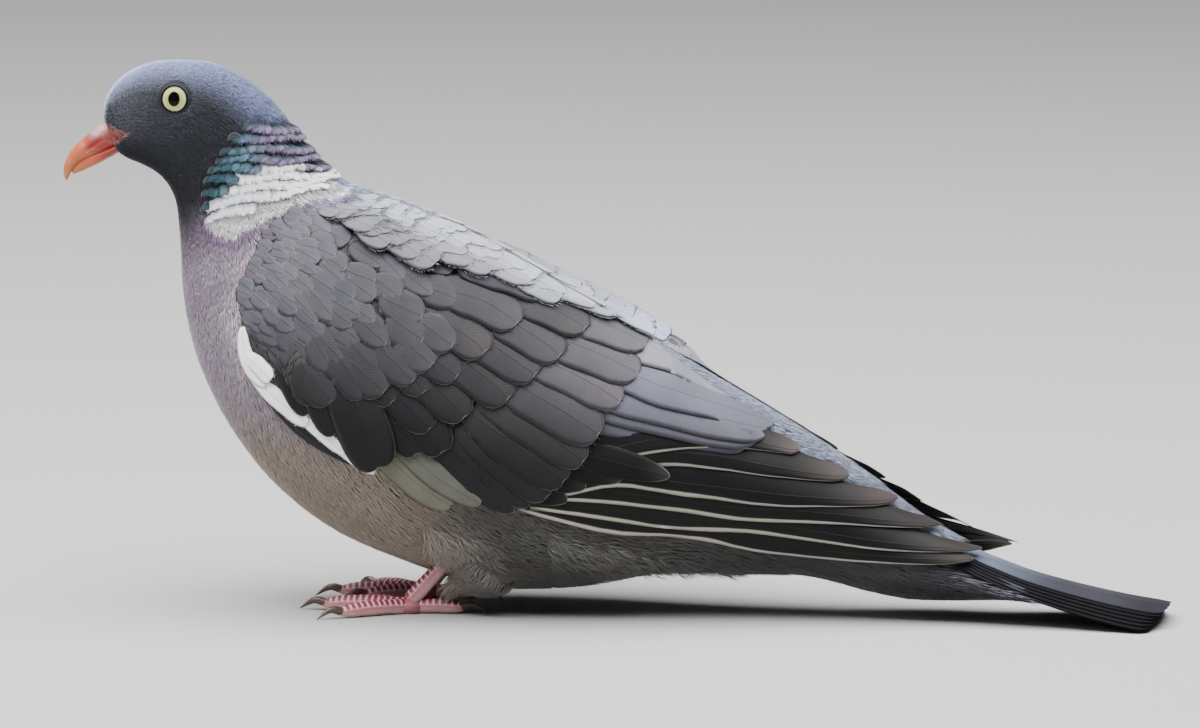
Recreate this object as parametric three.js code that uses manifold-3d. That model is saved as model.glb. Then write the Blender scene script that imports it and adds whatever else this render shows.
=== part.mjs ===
// A common wood pigeon, life size, standing with its wings folded and its tail laid on the floor.
// Millimetres, +Z up, the floor at Z = 0. The bird faces -X, and its left side is at -Y.
import * as THREE from "three";
import { mergeVertices } from "three/addons/utils/BufferGeometryUtils.js";
import Module from "manifold-3d";

const wasm = await Module();
wasm.setup();

// ---------------------------------------------------------------- driving dimensions

const GAP = 0.3; // between touching nodes
const FLOOR_BLOCK = [400, 200, 60]; // what trims soles and tail flat at the floor

// The body is one loft. Each station is a plane across the bird that holds the Y direction:
// [back x, back z, front x, front z, half width], from the face, over the neck, to the tail tip.
const STATIONS = [
  [-168.4, 157.8, -163.1, 147.3, 5.5], // 0 base of the bill
  [-166.5, 165.9, -161.9, 146.3, 9.1], // 1 forehead and chin
  [-161.2, 172.3, -159.3, 144.8, 12.0],
  [-152.6, 176.4, -155.1, 143.2, 13.5],
  [-142.7, 177.4, -150.2, 140.6, 14.3], // 4 crown, just behind the eye
  [-131.0, 176.4, -146.9, 137.3, 14.6],
  [-120.9, 171.4, -144.8, 133.6, 14.7], // 6 nape and throat
  [-112.7, 164.7, -143.5, 129.0, 15.3],
  [-104.4, 155.0, -142.8, 121.1, 17.0],
  [-95.9, 144.5, -142.2, 112.2, 20.0],
  [-86.0, 137.4, -141.6, 102.0, 24.5], // 10 shoulders
  [-70.4, 132.4, -138.9, 87.3, 30.5],
  [-52.3, 125.8, -134.3, 74.3, 36.5],
  [-34.2, 116.6, -125.7, 58.1, 41.5],
  [-16.1, 106.3, -111.5, 40.3, 44.0],
  [2.0, 95.8, -91.8, 25.3, 44.5], // 15 widest
  [20.1, 84.6, -67.1, 15.0, 42.5],
  [36.5, 75.0, -40.8, 7.4, 38.0],
  [51.3, 66.6, -11.2, 8.0, 32.5], // 18 rump and thighs
  [64.5, 58.6, 15.1, 12.8, 27.5],
  [77.7, 50.0, 41.5, 13.3, 23.5],
  [90.8, 40.8, 64.5, 12.8, 20.5], // 21 vent
  [104.0, 31.6, 87.5, 7.7, 19.0],
  [122.1, 22.8, 113.9, 4.0, 18.0], // 23 base of the tail feathers
  [150.0, 14.5, 146.0, 1.5, 22.0],
  [181.0, 9.8, 181.0, 0.0, 26.0], // 25 tail tip
];
const HEAD_END = 6.4; // station where the head is parted from the neck
const NECK_END = 10.1;
const TORSO_END = 19.5;
const RUMP_END = 22.4;
const FULLNESS = 2.15; // exponent of a section: 2 is an ellipse, more is boxier
const HEAD_EGG = 0.12; // how much wider the cheeks are than the crown
// Rings along and points around each length of the body.
const HEAD_MESH = [12, 22];
const NECK_MESH = [8, 24];
const TORSO_MESH = [18, 28];
const RUMP_MESH = [6, 24];

const EYE = { x: -142.2, y: 9.4, z: 165.7, radius: 6.2, depth: 5.2 };
const LID = { station: 4.29, angle: 66, ring: 4.9, thick: 0.85 };

// The bill: [top x, top z, bottom x, bottom z, half width] from its base to its tip, and one side
// of its section as [share of the half width, share of the height], from the top to the bottom.
const UPPER_BILL = [
  [-167.9, 156.8, -164.7, 149.4, 4.6],
  [-171.2, 154.0, -168.6, 147.0, 4.3],
  [-174.8, 150.9, -172.6, 145.6, 3.8],
  [-178.0, 147.9, -175.4, 144.4, 3.1],
  [-180.3, 144.6, -178.0, 142.0, 2.2],
  [-181.4, 141.2, -179.6, 139.6, 1.4],
  [-181.1, 138.6, -180.3, 138.0, 0.7],
];
const UPPER_SECTION = [[0.2, 1], [0.52, 0.9], [0.8, 0.68], [0.96, 0.4], [1, 0.14], [0.88, 0], [0.3, 0]];
const LOWER_SECTION = [[0.3, 1], [0.9, 1], [1, 0.72], [0.82, 0.34], [0.5, 0.08], [0.18, 0]];
const LOWER_BILL = [
  [-164.9, 148.8, -163.4, 146.4, 3.9],
  [-168.4, 146.4, -167.4, 143.9, 3.5],
  [-172.4, 144.8, -171.8, 141.7, 2.8],
  [-176.0, 142.9, -175.8, 140.0, 1.9],
  [-178.3, 140.4, -178.0, 138.9, 0.9],
];
const CERE = { x: -170.2, y: 1.8, z: 153.6, along: 4.4, across: 2.5, up: 2.1, tilt: 42 };
const NOSTRIL = { x: -173.1, y: 4.2, z: 149.5, along: 1.9, across: 1.0, up: 0.45, tilt: 42 };

// The form of the folded arm under the wing's feathers, as rows of [body station, upper edge, lower
// edge, height above the body]. The edges are angles in degrees from the back line.
const ARM = [
  [10.35, 64, 86, 1.4],
  [10.8, 44, 106, 2.8],
  [11.6, 27, 119, 3.8],
  [12.5, 18, 126, 4.2],
  [13.6, 16, 121, 4.0],
  [14.6, 17, 114, 3.5],
  [15.7, 21, 106, 2.9],
  [16.9, 30, 98, 2.2],
  [18.2, 44, 92, 1.2],
];
const ARM_SUNK = 0.1; // how far the inner face starts below the body's surface
const ARM_MESH = [11, 7]; // rings along and spans across
const ARM_EDGE = 0.25; // share of the height that is left at the arm's edges
const ARM_FLATNESS = 3; // exponent of the arm's section
const BACK_CLEARANCE = 1.6; // least half gap between the two wings over the rump
const VANE_THICKNESS = 0.6;
const SHINGLE = 0.45; // how much a vane's lower edge is raised, and its upper edge sunk
// Rows of feathers from the upper to the lower one. A feather runs from its root to its tip, both
// [x, z] in side view, at a height above the body that goes from the first to the second of its pair.
const PRIMARIES = {
  roots: [[-10.5, 57.5], [-24, 38.5]],
  tips: [[59.6, 53.5], [119.7, 22.0]],
  width: [17, 13],
  lift: [[2.3, 3.3], [0.9, 1.1]],
  count: 6,
  bow: -2.2,
};
const SECONDARIES = {
  roots: [[1.2, 73.7], [-7.4, 61.3]],
  tips: [[50.1, 60.8], [40.5, 55.0]],
  width: [15, 14],
  lift: [[2.6, 4.2], [2.4, 3.5]],
  count: 3,
  bow: -1.0,
};
const TERTIALS = {
  roots: [[-13.7, 98.5], [-4.2, 85.8]],
  tips: [[28.3, 78.0], [50.3, 62.8]],
  width: [21, 19],
  lift: [[3.2, 5.0], [3.0, 4.9]],
  count: 3,
  bow: 1.6,
};
const GREATER_COVERTS = {
  roots: [[-23.8, 97.7], [-70, 61.5]],
  tips: [[10.9, 84.7], [-38, 38.5]],
  width: [15, 13],
  lift: [[2.4, 5.3], [2.4, 4.2]],
  count: 7,
  bow: 2.0,
};
const MEDIAN_COVERTS = {
  roots: [[-38, 103.8], [-83, 78]],
  tips: [[-8.8, 92.3], [-63, 54]],
  width: [14, 13],
  lift: [[2.8, 5.9], [2.8, 5.0]],
  count: 6,
  bow: 2.0,
};
const SCAPULARS = {
  roots: [[-50, 122], [-55, 112]],
  tips: [[11.8, 88.8], [-14, 96.4]],
  width: [18, 17],
  lift: [[1.4, 5.0], [2.6, 6.2]],
  count: 3,
  bow: 3.0,
};
const ALULA = {
  roots: [[-112, 79], [-108, 80]],
  tips: [[-73.9, 51.2], [-82, 57]],
  width: [8, 8],
  lift: [[3.4, 3.4], [3.9, 4.1]],
  count: 2,
  bow: -2.0,
};
const FAR_WING_SLIP = 5; // the right wing's feathers lie this much further back
const WING_SLOPE = 0.45; // how far a feather that slips back goes down, per unit of its way
const UNEVEN = { length: 1.2, width: 0.05 }; // small differences between feathers of a row

const TAIL = {
  pairs: 6,
  rootX: 101,
  tipX: 181,
  tipStep: 0.5, // each outer pair is this much shorter
  rootY: [2.5, 8.0],
  tipY: [6.0, 18.0],
  halfWidth: [5.5, 9.5],
  topDepth: 0.5,
  layer: 0.62, // each outer pair is this much lower
  arch: [6.5, 3.4], // drop of the surface 27 mm from the middle, at root and tip
  archAt: 27,
};
const TAIL_RUN = [
  // share of the length, share of the half width
  [0, 0.6],
  [0.3, 0.8],
  [0.62, 0.95],
  [0.93, 1],
  [1, 0.7],
];
const TAIL_LINE = [
  // [x, z] of the middle of the tail's top
  [98, 32.4],
  [104, 29.2],
  [113, 24.8],
  [122, 20.6],
  [136, 15.6],
  [150, 11.9],
  [166, 8.5],
  [181, 6.1],
];
// The tail coverts: where they thin out, and how deep under the tail's top they end.
const TAIL_ROOT = { end: 24.0, mesh: [4, 20], depth: 2.2, sink: [0.25, 0.65] };

// Legs: the left one, mirrored for the right. A radius is given at the top and at the bottom.
const THIGH = { top: [-35, 21, 20], bottom: [-50.5, 17.6, 8.5], radius: [12.5, 4.6] };
const TARSUS = { top: [-50.5, 17.6, 18.5], bottom: [-63.4, 17.0, 4.9], radius: [2.5, 2.4] };
const FOOT = { x: -64.5, y: 17, pad: 4.2, padHeight: 4.6 };
// Toes: heading in degrees from straight ahead, positive away from the body, length and radius.
const TOES = {
  inner: { heading: -27, length: 22, radius: 2.4 },
  middle: { heading: -4, length: 29, radius: 2.6 },
  outer: { heading: 37, length: 26, radius: 2.4 },
  hind: { heading: 184, length: 18, radius: 2.3 },
};
const CLAW = { length: 8, radius: 1.35, drop: 1.9 };

// ---------------------------------------------------------------- materials

const paint = (color, roughness) =>
  new THREE.MeshStandardMaterial({ color, roughness, metalness: 0 });
const headGrey = paint(0x6b6f7c, 0.75);
const neckGrey = paint(0x7d8a8f, 0.6);
const breastMauve = paint(0xa6969c, 0.8);
const ventGrey = paint(0x8f9298, 0.8);
const wingGrey = paint(0x6f6f78, 0.7);
const tailGrey = paint(0x5d5f69, 0.7);
const billRed = paint(0xd9766a, 0.45);
const footRed = paint(0xa84f5e, 0.55);
const clawHorn = paint(0x3a3233, 0.4);
const irisYellow = paint(0xd8d29a, 0.15);

// ---------------------------------------------------------------- numbers along a list

const lerp = (a, b, t) => a + (b - a) * t;
const lerpAll = (a, b, t) => a.map((value, i) => lerp(value, b[i], t));
const radians = THREE.MathUtils.degToRad;

// The row of a table at a fractional index, on a Catmull-Rom curve through its rows.
function smoothRow(table, u) {
  const last = table.length - 1;
  const i = Math.min(Math.max(Math.floor(u), 0), last - 1);
  const f = u - i;
  const row = (k) =>
    k < 0
      ? table[0].map((v, j) => 2 * v - table[1][j])
      : k > last
        ? table[last].map((v, j) => 2 * v - table[last - 1][j])
        : table[k];
  const [p0, p1, p2, p3] = [row(i - 1), row(i), row(i + 1), row(i + 2)];
  return p1.map(
    (b, j) =>
      0.5 *
      (2 * b +
        (p2[j] - p0[j]) * f +
        (2 * p0[j] - 5 * b + 4 * p2[j] - p3[j]) * f * f +
        (3 * b - p0[j] - 3 * p2[j] + p3[j]) * f * f * f),
  );
}

// ---------------------------------------------------------------- the body's surface

const bodyRow = (u) => smoothRow(STATIONS, u);

// A point of the body at station u and angle phi from the back line, on the left side for phi > 0.
function bodyPoint(u, phi) {
  const [backX, backZ, frontX, frontZ, halfWidth] = bodyRow(u);
  const c = Math.cos(phi);
  const egg = u < NECK_END ? HEAD_EGG * (1 - u / NECK_END) : 0;
  const across = Math.pow(Math.max(0, 1 - Math.pow(Math.abs(c), FULLNESS)), 1 / FULLNESS);
  return new THREE.Vector3(
    lerp(frontX, backX, (c + 1) / 2),
    -Math.sign(Math.sin(phi)) * halfWidth * across * (1 - egg * c),
    lerp(frontZ, backZ, (c + 1) / 2),
  );
}

const STEP_U = 0.02;
const STEP_PHI = 0.02;

// The two tangents and the outward normal of the body at a point.
function bodyFrame(u, phi) {
  const alongU = bodyPoint(u + STEP_U, phi).sub(bodyPoint(u - STEP_U, phi)).divideScalar(2 * STEP_U);
  const alongPhi = bodyPoint(u, phi + STEP_PHI)
    .sub(bodyPoint(u, phi - STEP_PHI))
    .divideScalar(2 * STEP_PHI);
  const normal = new THREE.Vector3().crossVectors(alongU, alongPhi).normalize();
  const centre = bodyPoint(u, Math.PI).add(bodyPoint(u, 0)).multiplyScalar(0.5);
  if (normal.dot(bodyPoint(u, phi).sub(centre)) < 0) normal.negate();
  return { alongU, alongPhi, normal };
}

const lifted = (u, phi, lift) =>
  bodyPoint(u, phi).addScaledVector(bodyFrame(u, phi).normal, lift);

// The station and angle of the point of the left side that lies at [x, z] in side view.
function locate(x, z) {
  const offLine = (u) => {
    const [backX, backZ, frontX, frontZ] = bodyRow(u);
    return (backX - frontX) * (z - frontZ) - (backZ - frontZ) * (x - frontX);
  };
  const last = STATIONS.length - 1;
  const step = 0.1;
  let low = NECK_END - 1.5;
  while (low + step < last && offLine(low) * offLine(low + step) > 0) low += step;
  let high = Math.min(low + step, last);
  for (let i = 0; i < 30; i++) {
    const middle = (low + high) / 2;
    if (offLine(low) * offLine(middle) <= 0) high = middle;
    else low = middle;
  }
  const u = (low + high) / 2;
  const [backX, backZ, frontX, frontZ] = bodyRow(u);
  const run = (x - frontX) * (backX - frontX) + (z - frontZ) * (backZ - frontZ);
  const share = run / ((backX - frontX) ** 2 + (backZ - frontZ) ** 2);
  const c = THREE.MathUtils.clamp(2 * share - 1, -0.999, 0.999);
  return { u, phi: Math.acos(c) };
}

// Moves a point of the surface by a distance along a direction in space.
function moved(u, phi, direction, distance) {
  const { alongU, alongPhi } = bodyFrame(u, phi);
  const [a, b, c] = [alongU.dot(alongU), alongU.dot(alongPhi), alongPhi.dot(alongPhi)];
  const [p, q] = [alongU.dot(direction) * distance, alongPhi.dot(direction) * distance];
  const area = a * c - b * b;
  return { u: u + (p * c - q * b) / area, phi: phi + (q * a - p * b) / area };
}

// The least angle that keeps a point clear of the other wing.
const leastPhi = (u) => Math.asin(Math.min(0.9, BACK_CLEARANCE / bodyRow(u)[4]));

// ---------------------------------------------------------------- closed meshes

// A closed mesh from rings of equal length. Both faces of a thin ring are split alike.
function closedLoft(rings) {
  const count = rings[0].length;
  const positions = rings.flat().flatMap((p) => [p.x, p.y, p.z]);
  const index = [];
  for (let i = 0; i + 1 < rings.length; i++)
    for (let j = 0; j < count; j++) {
      const next = (j + 1) % count;
      const [a, b] = [i * count + j, i * count + next];
      const [c, d] = [a + count, b + count];
      const farHalf = j >= count / 2;
      if (farHalf) index.push(a, b, d, a, d, c);
      else index.push(a, b, c, b, d, c);
    }
  for (const [first, turned] of [[0, true], [(rings.length - 1) * count, false]])
    for (let j = 0; j + 1 < count / 2; j++) {
      const [a, b] = [first + j, first + j + 1];
      const [c, d] = [first + count - 2 - j, first + count - 1 - j];
      const quad = [a, b, c, a, c, d];
      index.push(...(turned ? quad.reverse() : quad));
    }
  return new THREE.BufferGeometry()
    .setAttribute("position", new THREE.Float32BufferAttribute(positions, 3))
    .setIndex(index);
}

// A manifold-3d solid of a closed geometry, with its faces turned outwards.
function solidOf(geometry) {
  const bare = new THREE.BufferGeometry()
    .setAttribute("position", geometry.getAttribute("position"))
    .setIndex(geometry.index);
  const merged = mergeVertices(bare, 1e-4);
  const triVerts = new Uint32Array(merged.index.array);
  const make = () =>
    new wasm.Manifold(
      new wasm.Mesh({ numProp: 3, vertProperties: merged.attributes.position.array, triVerts }),
    );
  const made = make();
  if (made.volume() > 0) return made;
  triVerts.reverse();
  return make();
}

// The largest closed surface of a solid, so that a sealed hollow is filled and a scrap dropped.
function largest(solid) {
  const pieces = solid.decompose();
  return pieces.reduce((best, piece) => (piece.volume() > best.volume() ? piece : best));
}

// A named mesh of a solid.
function named(name, solid, material) {
  const mesh = solid.getMesh();
  const stride = mesh.numProp;
  const positions = new Float32Array(mesh.numVert * 3);
  for (let i = 0; i < mesh.numVert; i++)
    positions.set(mesh.vertProperties.subarray(i * stride, i * stride + 3), i * 3);
  const geometry = new THREE.BufferGeometry()
    .setAttribute("position", new THREE.BufferAttribute(positions, 3))
    .setIndex(new THREE.BufferAttribute(mesh.triVerts, 1));
  const made = new THREE.Mesh(geometry, material);
  made.name = name;
  return made;
}

// ---------------------------------------------------------------- head, neck, torso, rump

// A length of the body from station u0 to u1, as rings lifted off the surface.
function bodyLength(u0, u1, [ringCount, sides], lift = 0, endGap = 0) {
  const rings = [];
  for (let i = 0; i <= ringCount; i++) {
    const u = lerp(u0, u1, i / ringCount);
    const ring = [];
    for (let j = 0; j < sides; j++) {
      const phi = ((j + 0.5) / sides) * 2 * Math.PI;
      ring.push(lift ? lifted(u, phi, lift) : bodyPoint(u, phi));
    }
    rings.push(ring);
  }
  if (endGap) {
    const [backX, backZ, frontX, frontZ] = bodyRow(u0);
    const inwards = new THREE.Vector3(backZ - frontZ, 0, frontX - backX).normalize();
    rings[0].forEach((p) => p.addScaledVector(inwards, endGap));
  }
  return solidOf(closedLoft(rings));
}

// A rounded solid: a sphere stretched to three half sizes, turned in side view and moved.
function blob({ x, y, z, along, across, up, tilt = 0 }, side, grow = 0, detail = 16) {
  const geometry = new THREE.SphereGeometry(1, detail, Math.round(detail * 0.6));
  geometry.scale(along + grow, across + grow, up + grow);
  geometry.rotateY(radians(-tilt));
  geometry.translate(x, side * y, z);
  geometry.deleteAttribute("normal");
  geometry.deleteAttribute("uv");
  return solidOf(geometry);
}

const eyeBlob = (side, grow = 0) =>
  blob({ ...EYE, along: EYE.radius, across: EYE.depth, up: EYE.radius }, side, grow, 14);

// The ring of lids, on the left side.
function lidRing() {
  const phi = radians(LID.angle);
  const { normal } = bodyFrame(LID.station, phi);
  const centre = bodyPoint(LID.station, phi);
  const geometry = new THREE.TorusGeometry(LID.ring, LID.thick, 5, 14);
  const turn = new THREE.Quaternion().setFromUnitVectors(new THREE.Vector3(0, 0, 1), normal);
  geometry.applyQuaternion(turn);
  geometry.translate(centre.x, centre.y, centre.z);
  geometry.deleteAttribute("normal");
  geometry.deleteAttribute("uv");
  return solidOf(geometry);
}

// A solid of the left side, turned into that of the right.
const mirrored = (solid) => solid.scale([1, -1, 1]);

function makeHead() {
  let head = bodyLength(0, HEAD_END, HEAD_MESH);
  head = wasm.Manifold.union([head, lidRing(), mirrored(lidRing())]);
  for (const side of [-1, 1]) head = head.subtract(eyeBlob(side, GAP));
  return largest(head);
}

// One half of the bill, from its table and the corners of one side of its section.
function billPart(table, section, ringCount) {
  const rings = [];
  for (let i = 0; i <= ringCount; i++) {
    const u = ((table.length - 1) * i) / ringCount;
    const [topX, topZ, bottomX, bottomZ, halfWidth] = smoothRow(table, u);
    const at = ([across, share], side) =>
      new THREE.Vector3(
        lerp(bottomX, topX, share),
        side * halfWidth * across,
        lerp(bottomZ, topZ, share),
      );
    const left = section.map((corner) => at(corner, -1));
    const right = section.map((corner) => at(corner, 1));
    rings.push([...left, ...right.reverse()]);
  }
  return solidOf(closedLoft(rings));
}

function makeUpperBill() {
  const bulbs = [-1, 1].map((side) => blob(CERE, side, 0, 10));
  let bill = wasm.Manifold.union([billPart(UPPER_BILL, UPPER_SECTION, 7), ...bulbs]);
  for (const side of [-1, 1]) bill = bill.subtract(blob(NOSTRIL, side, 0, 8));
  return largest(bill.subtract(bodyLength(0, 2, [4, 24], GAP)));
}

// ---------------------------------------------------------------- wings

const VANE_RUN = [
  // share of the length, share of the half width
  [0, 0.5],
  [0.35, 0.95],
  [0.7, 1],
  [0.92, 0.76],
  [1, 0.3],
];

// A closed ring across a vane, from the points of its middle surface and the normals there.
const vaneRing = (points, normals) => [
  ...points.map((p, i) => p.clone().addScaledVector(normals[i], VANE_THICKNESS / 2)),
  ...points.map((p, i) => p.clone().addScaledVector(normals[i], -VANE_THICKNESS / 2)).reverse(),
];

// A wing feather that follows the body's side from root to tip.
function wingVane({ root, tip, width, lift, bow }) {
  const length = Math.hypot(tip[0] - root[0], tip[1] - root[1]);
  const centre = (t) => {
    const sideways = (bow * 4 * t * (1 - t)) / length;
    return locate(
      lerp(root[0], tip[0], t) - sideways * (tip[1] - root[1]),
      lerp(root[1], tip[1], t) + sideways * (tip[0] - root[0]),
    );
  };
  const rings = VANE_RUN.map(([t, share]) => {
    const at = centre(t);
    const before = centre(t - 0.03);
    const after = centre(t + 0.03);
    const heading = bodyPoint(after.u, after.phi).sub(bodyPoint(before.u, before.phi)).normalize();
    const { normal } = bodyFrame(at.u, at.phi);
    const upwards = new THREE.Vector3().crossVectors(normal, heading).normalize();
    const places = [-1, 0, 1].map((edge) => {
      const to = moved(at.u, at.phi, upwards, (edge * share * width) / 2);
      to.phi = Math.max(to.phi, leastPhi(to.u));
      return to;
    });
    const normals = places.map(({ u, phi }) => bodyFrame(u, phi).normal);
    const height = lerp(lift[0], lift[1], t);
    const points = places.map(({ u, phi }, i) => lifted(u, phi, height + SHINGLE * share * (1 - i)));
    return vaneRing(points, normals);
  });
  return solidOf(closedLoft(rings));
}

// A row of wing feathers, with small differences in length and width that the seed sets.
function vaneRow(row, slip, seed) {
  const vanes = [];
  for (let k = 0; k < row.count; k++) {
    const t = k / (row.count - 1);
    const tip = lerpAll(row.tips[0], row.tips[1], t);
    const more = slip + UNEVEN.length * Math.sin(seed + 5.1 * k);
    const wider = 1 + UNEVEN.width * Math.sin(seed + 3.3 * k);
    vanes.push(
      wingVane({
        root: lerpAll(row.roots[0], row.roots[1], t),
        tip: [tip[0] + more, tip[1] - WING_SLOPE * more],
        width: lerp(row.width[0], row.width[1], t) * wider,
        lift: lerpAll(row.lift[0], row.lift[1], t),
        bow: row.bow,
      }),
    );
  }
  return vanes;
}

// The smooth form of the folded arm, which carries the roots of all the wing's feathers.
function armShell() {
  const [ringCount, across] = ARM_MESH;
  const rings = [];
  for (let i = 0; i <= ringCount; i++) {
    const [u, top, bottom, lift] = smoothRow(ARM, ((ARM.length - 1) * i) / ringCount);
    const outer = [];
    const inner = [];
    for (let j = 0; j <= across; j++) {
      const v = j / across;
      const crown = Math.sqrt(Math.max(0, 1 - Math.abs(2 * v - 1) ** ARM_FLATNESS));
      const phi = lerp(radians(top), radians(bottom), v);
      outer.push(lifted(u, phi, lift * lerp(ARM_EDGE, 1, crown)));
      inner.push(lifted(u, phi, -ARM_SUNK));
    }
    rings.push([...outer, ...inner.reverse()]);
  }
  return solidOf(closedLoft(rings));
}

function makeWing(side, bodyGrown, tailGrown) {
  const slip = side > 0 ? FAR_WING_SLIP : 0;
  const rows = [PRIMARIES, SECONDARIES, TERTIALS, GREATER_COVERTS, MEDIAN_COVERTS, SCAPULARS, ALULA];
  const vanes = rows.flatMap((row, i) => vaneRow(row, slip, i + 2 * side));
  const left = wasm.Manifold.union([armShell(), ...vanes]);
  const wing = side > 0 ? mirrored(left) : left;
  return largest(wing.subtract(bodyGrown).subtract(tailGrown));
}

// ---------------------------------------------------------------- tail

// The height of the middle of the tail's top.
function tailTop(x) {
  const found = TAIL_LINE.findIndex(([end]) => x <= end);
  const k = found < 0 ? TAIL_LINE.length - 1 : Math.max(found, 1);
  const [a, b] = [TAIL_LINE[k - 1], TAIL_LINE[k]];
  return lerp(a[1], b[1], (x - a[0]) / (b[0] - a[0]));
}

// A point at a depth under the arched top of the tail.
function tailPoint(x, y, depth) {
  const share = (x - TAIL.rootX) / (TAIL.tipX - TAIL.rootX);
  const drop = lerp(TAIL.arch[0], TAIL.arch[1], share) * (y / TAIL.archAt) ** 2;
  return new THREE.Vector3(x, y, tailTop(x) - drop - depth);
}

// One feather of the closed tail. Pair 0 lies on top in the middle, and each further pair is lower.
function tailVane(pair, side, grow) {
  const rank = pair / (TAIL.pairs - 1);
  const tipX = TAIL.tipX - TAIL.tipStep * pair + grow;
  const up = new THREE.Vector3(0, 0, 1 + (2 * grow) / VANE_THICKNESS);
  const rings = TAIL_RUN.map(([t, share]) => {
    const x = lerp(TAIL.rootX - grow, tipX, t);
    const y = lerp(lerp(...TAIL.rootY, rank), lerp(...TAIL.tipY, rank), t);
    const half = lerp(...TAIL.halfWidth, t) * share + grow;
    const depth = TAIL.topDepth + TAIL.layer * pair;
    const points = [-1, 0, 1].map((edge) => tailPoint(x, side * (y + edge * half), depth));
    return vaneRing(points, [up, up, up]);
  });
  return solidOf(closedLoft(rings));
}

// All the tail feathers as one solid, grown on every side for clearance.
function tailFan(grow = 0) {
  const vanes = [];
  for (let pair = 0; pair < TAIL.pairs; pair++)
    for (const side of [-1, 1]) vanes.push(tailVane(pair, side, grow));
  return wasm.Manifold.union(vanes);
}

// The tail coverts, which carry the body's form back until it thins out into the tail.
function tailRoot() {
  const [ringCount, sides] = TAIL_ROOT.mesh;
  const [early, late] = TAIL_ROOT.sink;
  const rings = [];
  for (let i = 0; i <= ringCount; i++) {
    const share = i / ringCount;
    const u = lerp(RUMP_END, TAIL_ROOT.end, share);
    const ring = [];
    for (let j = 0; j < sides; j++) {
      const point = bodyPoint(u, ((j + 0.5) / sides) * 2 * Math.PI);
      const under = tailPoint(point.x, point.y, TAIL_ROOT.depth);
      ring.push(point.lerp(under, early * share + late * share ** 3));
    }
    rings.push(ring);
  }
  return solidOf(closedLoft(rings));
}

// ---------------------------------------------------------------- legs

// A tube through points, with a radius at each, of the given number of sides.
function tube(points, radiusAt, sides) {
  const curve = new THREE.CatmullRomCurve3(points);
  const count = radiusAt.length - 1;
  const rings = radiusAt.map((radius, i) => {
    const t = i / count;
    const centre = curve.getPoint(t);
    const along = curve.getTangent(t);
    const level = new THREE.Vector3().crossVectors(along, new THREE.Vector3(0, 0, 1)).normalize();
    const upward = new THREE.Vector3().crossVectors(level, along).normalize();
    const ring = [];
    for (let j = 0; j < sides; j++) {
      const turn = ((j + 0.5) / sides) * 2 * Math.PI;
      ring.push(
        centre
          .clone()
          .addScaledVector(level, radius * Math.sin(turn))
          .addScaledVector(upward, radius * Math.cos(turn)),
      );
    }
    return ring;
  });
  return solidOf(closedLoft(rings));
}

const onSide = ([x, y, z], side) => new THREE.Vector3(x, side * y, z);

// What is left of a solid above the floor, with a flat where it met it.
function aboveFloor(solid) {
  const block = new THREE.BoxGeometry(...FLOOR_BLOCK);
  block.translate(0, 0, -FLOOR_BLOCK[2] / 2);
  block.deleteAttribute("normal");
  block.deleteAttribute("uv");
  return solid.subtract(solidOf(block));
}

function makeThigh(side, bodyGrown) {
  const [top, bottom] = [onSide(THIGH.top, side), onSide(THIGH.bottom, side)];
  const middle = top.clone().lerp(bottom, 0.5);
  const [wide, narrow] = THIGH.radius;
  const radii = [wide, wide * 0.97, wide * 0.86, wide * 0.66, narrow, narrow * 0.45];
  const thigh = tube([top, middle, bottom], radii, 14);
  return largest(thigh.subtract(bodyGrown).subtract(tarsusTube(side, GAP)));
}

function tarsusTube(side, grow = 0) {
  const [top, bottom] = [onSide(TARSUS.top, side), onSide(TARSUS.bottom, side)];
  const [r0, r1] = TARSUS.radius;
  const middle = top.clone().lerp(bottom, 0.5);
  return tube([top, middle, bottom], [r0 + grow, r0 * 0.92 + grow, r1 + grow], 10);
}

// The end of a toe and the direction it points in.
function toeEnd(toe, side) {
  const turn = radians(toe.heading);
  const heading = new THREE.Vector3(-Math.cos(turn), side * Math.sin(turn), 0);
  const end = new THREE.Vector3(FOOT.x, side * FOOT.y, toe.radius * 0.88);
  return { heading, end: end.addScaledVector(heading, toe.length) };
}

const makeTarsus = (side, bodyGrown) => largest(tarsusTube(side).subtract(bodyGrown));

function makeFoot(side) {
  const pad = blob(
    { x: FOOT.x, y: FOOT.y, z: 2.0, along: FOOT.pad, across: FOOT.pad * 0.9, up: FOOT.padHeight / 1.6 },
    side,
    0,
    12,
  );
  const toes = Object.values(TOES).map((toe) => {
    const { end } = toeEnd(toe, side);
    const start = new THREE.Vector3(FOOT.x, side * FOOT.y, toe.radius);
    const middle = start.clone().lerp(end, 0.5);
    middle.z += 0.5;
    const r = toe.radius;
    return tube([start, middle, end], [r, r * 0.88, r * 0.97, r * 0.85, r * 0.6], 8);
  });
  const foot = wasm.Manifold.union([pad, ...toes]).subtract(tarsusTube(side, GAP));
  return largest(aboveFloor(foot));
}

function makeClaw(toe, side) {
  const { heading, end } = toeEnd(toe, side);
  const root = end.clone().addScaledVector(heading, GAP + 0.05);
  const middle = root.clone().addScaledVector(heading, CLAW.length * 0.55);
  middle.z += 0.6;
  const tip = root.clone().addScaledVector(heading, CLAW.length);
  tip.z -= CLAW.drop;
  const r = CLAW.radius;
  return largest(aboveFloor(tube([root, middle, tip], [r, r * 0.88, r * 0.6, r * 0.15], 8)));
}

// ---------------------------------------------------------------- the bird

// The body and the tail with the gap around them, which the wings and legs are cut back to.
const bodyGrown = bodyLength(8.6, 24.2, [30, TORSO_MESH[1]], GAP);
const tailGrown = tailFan(GAP);
const bird = new THREE.Group();
const add = (name, solid, material) => bird.add(named(name, solid, material));

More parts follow.
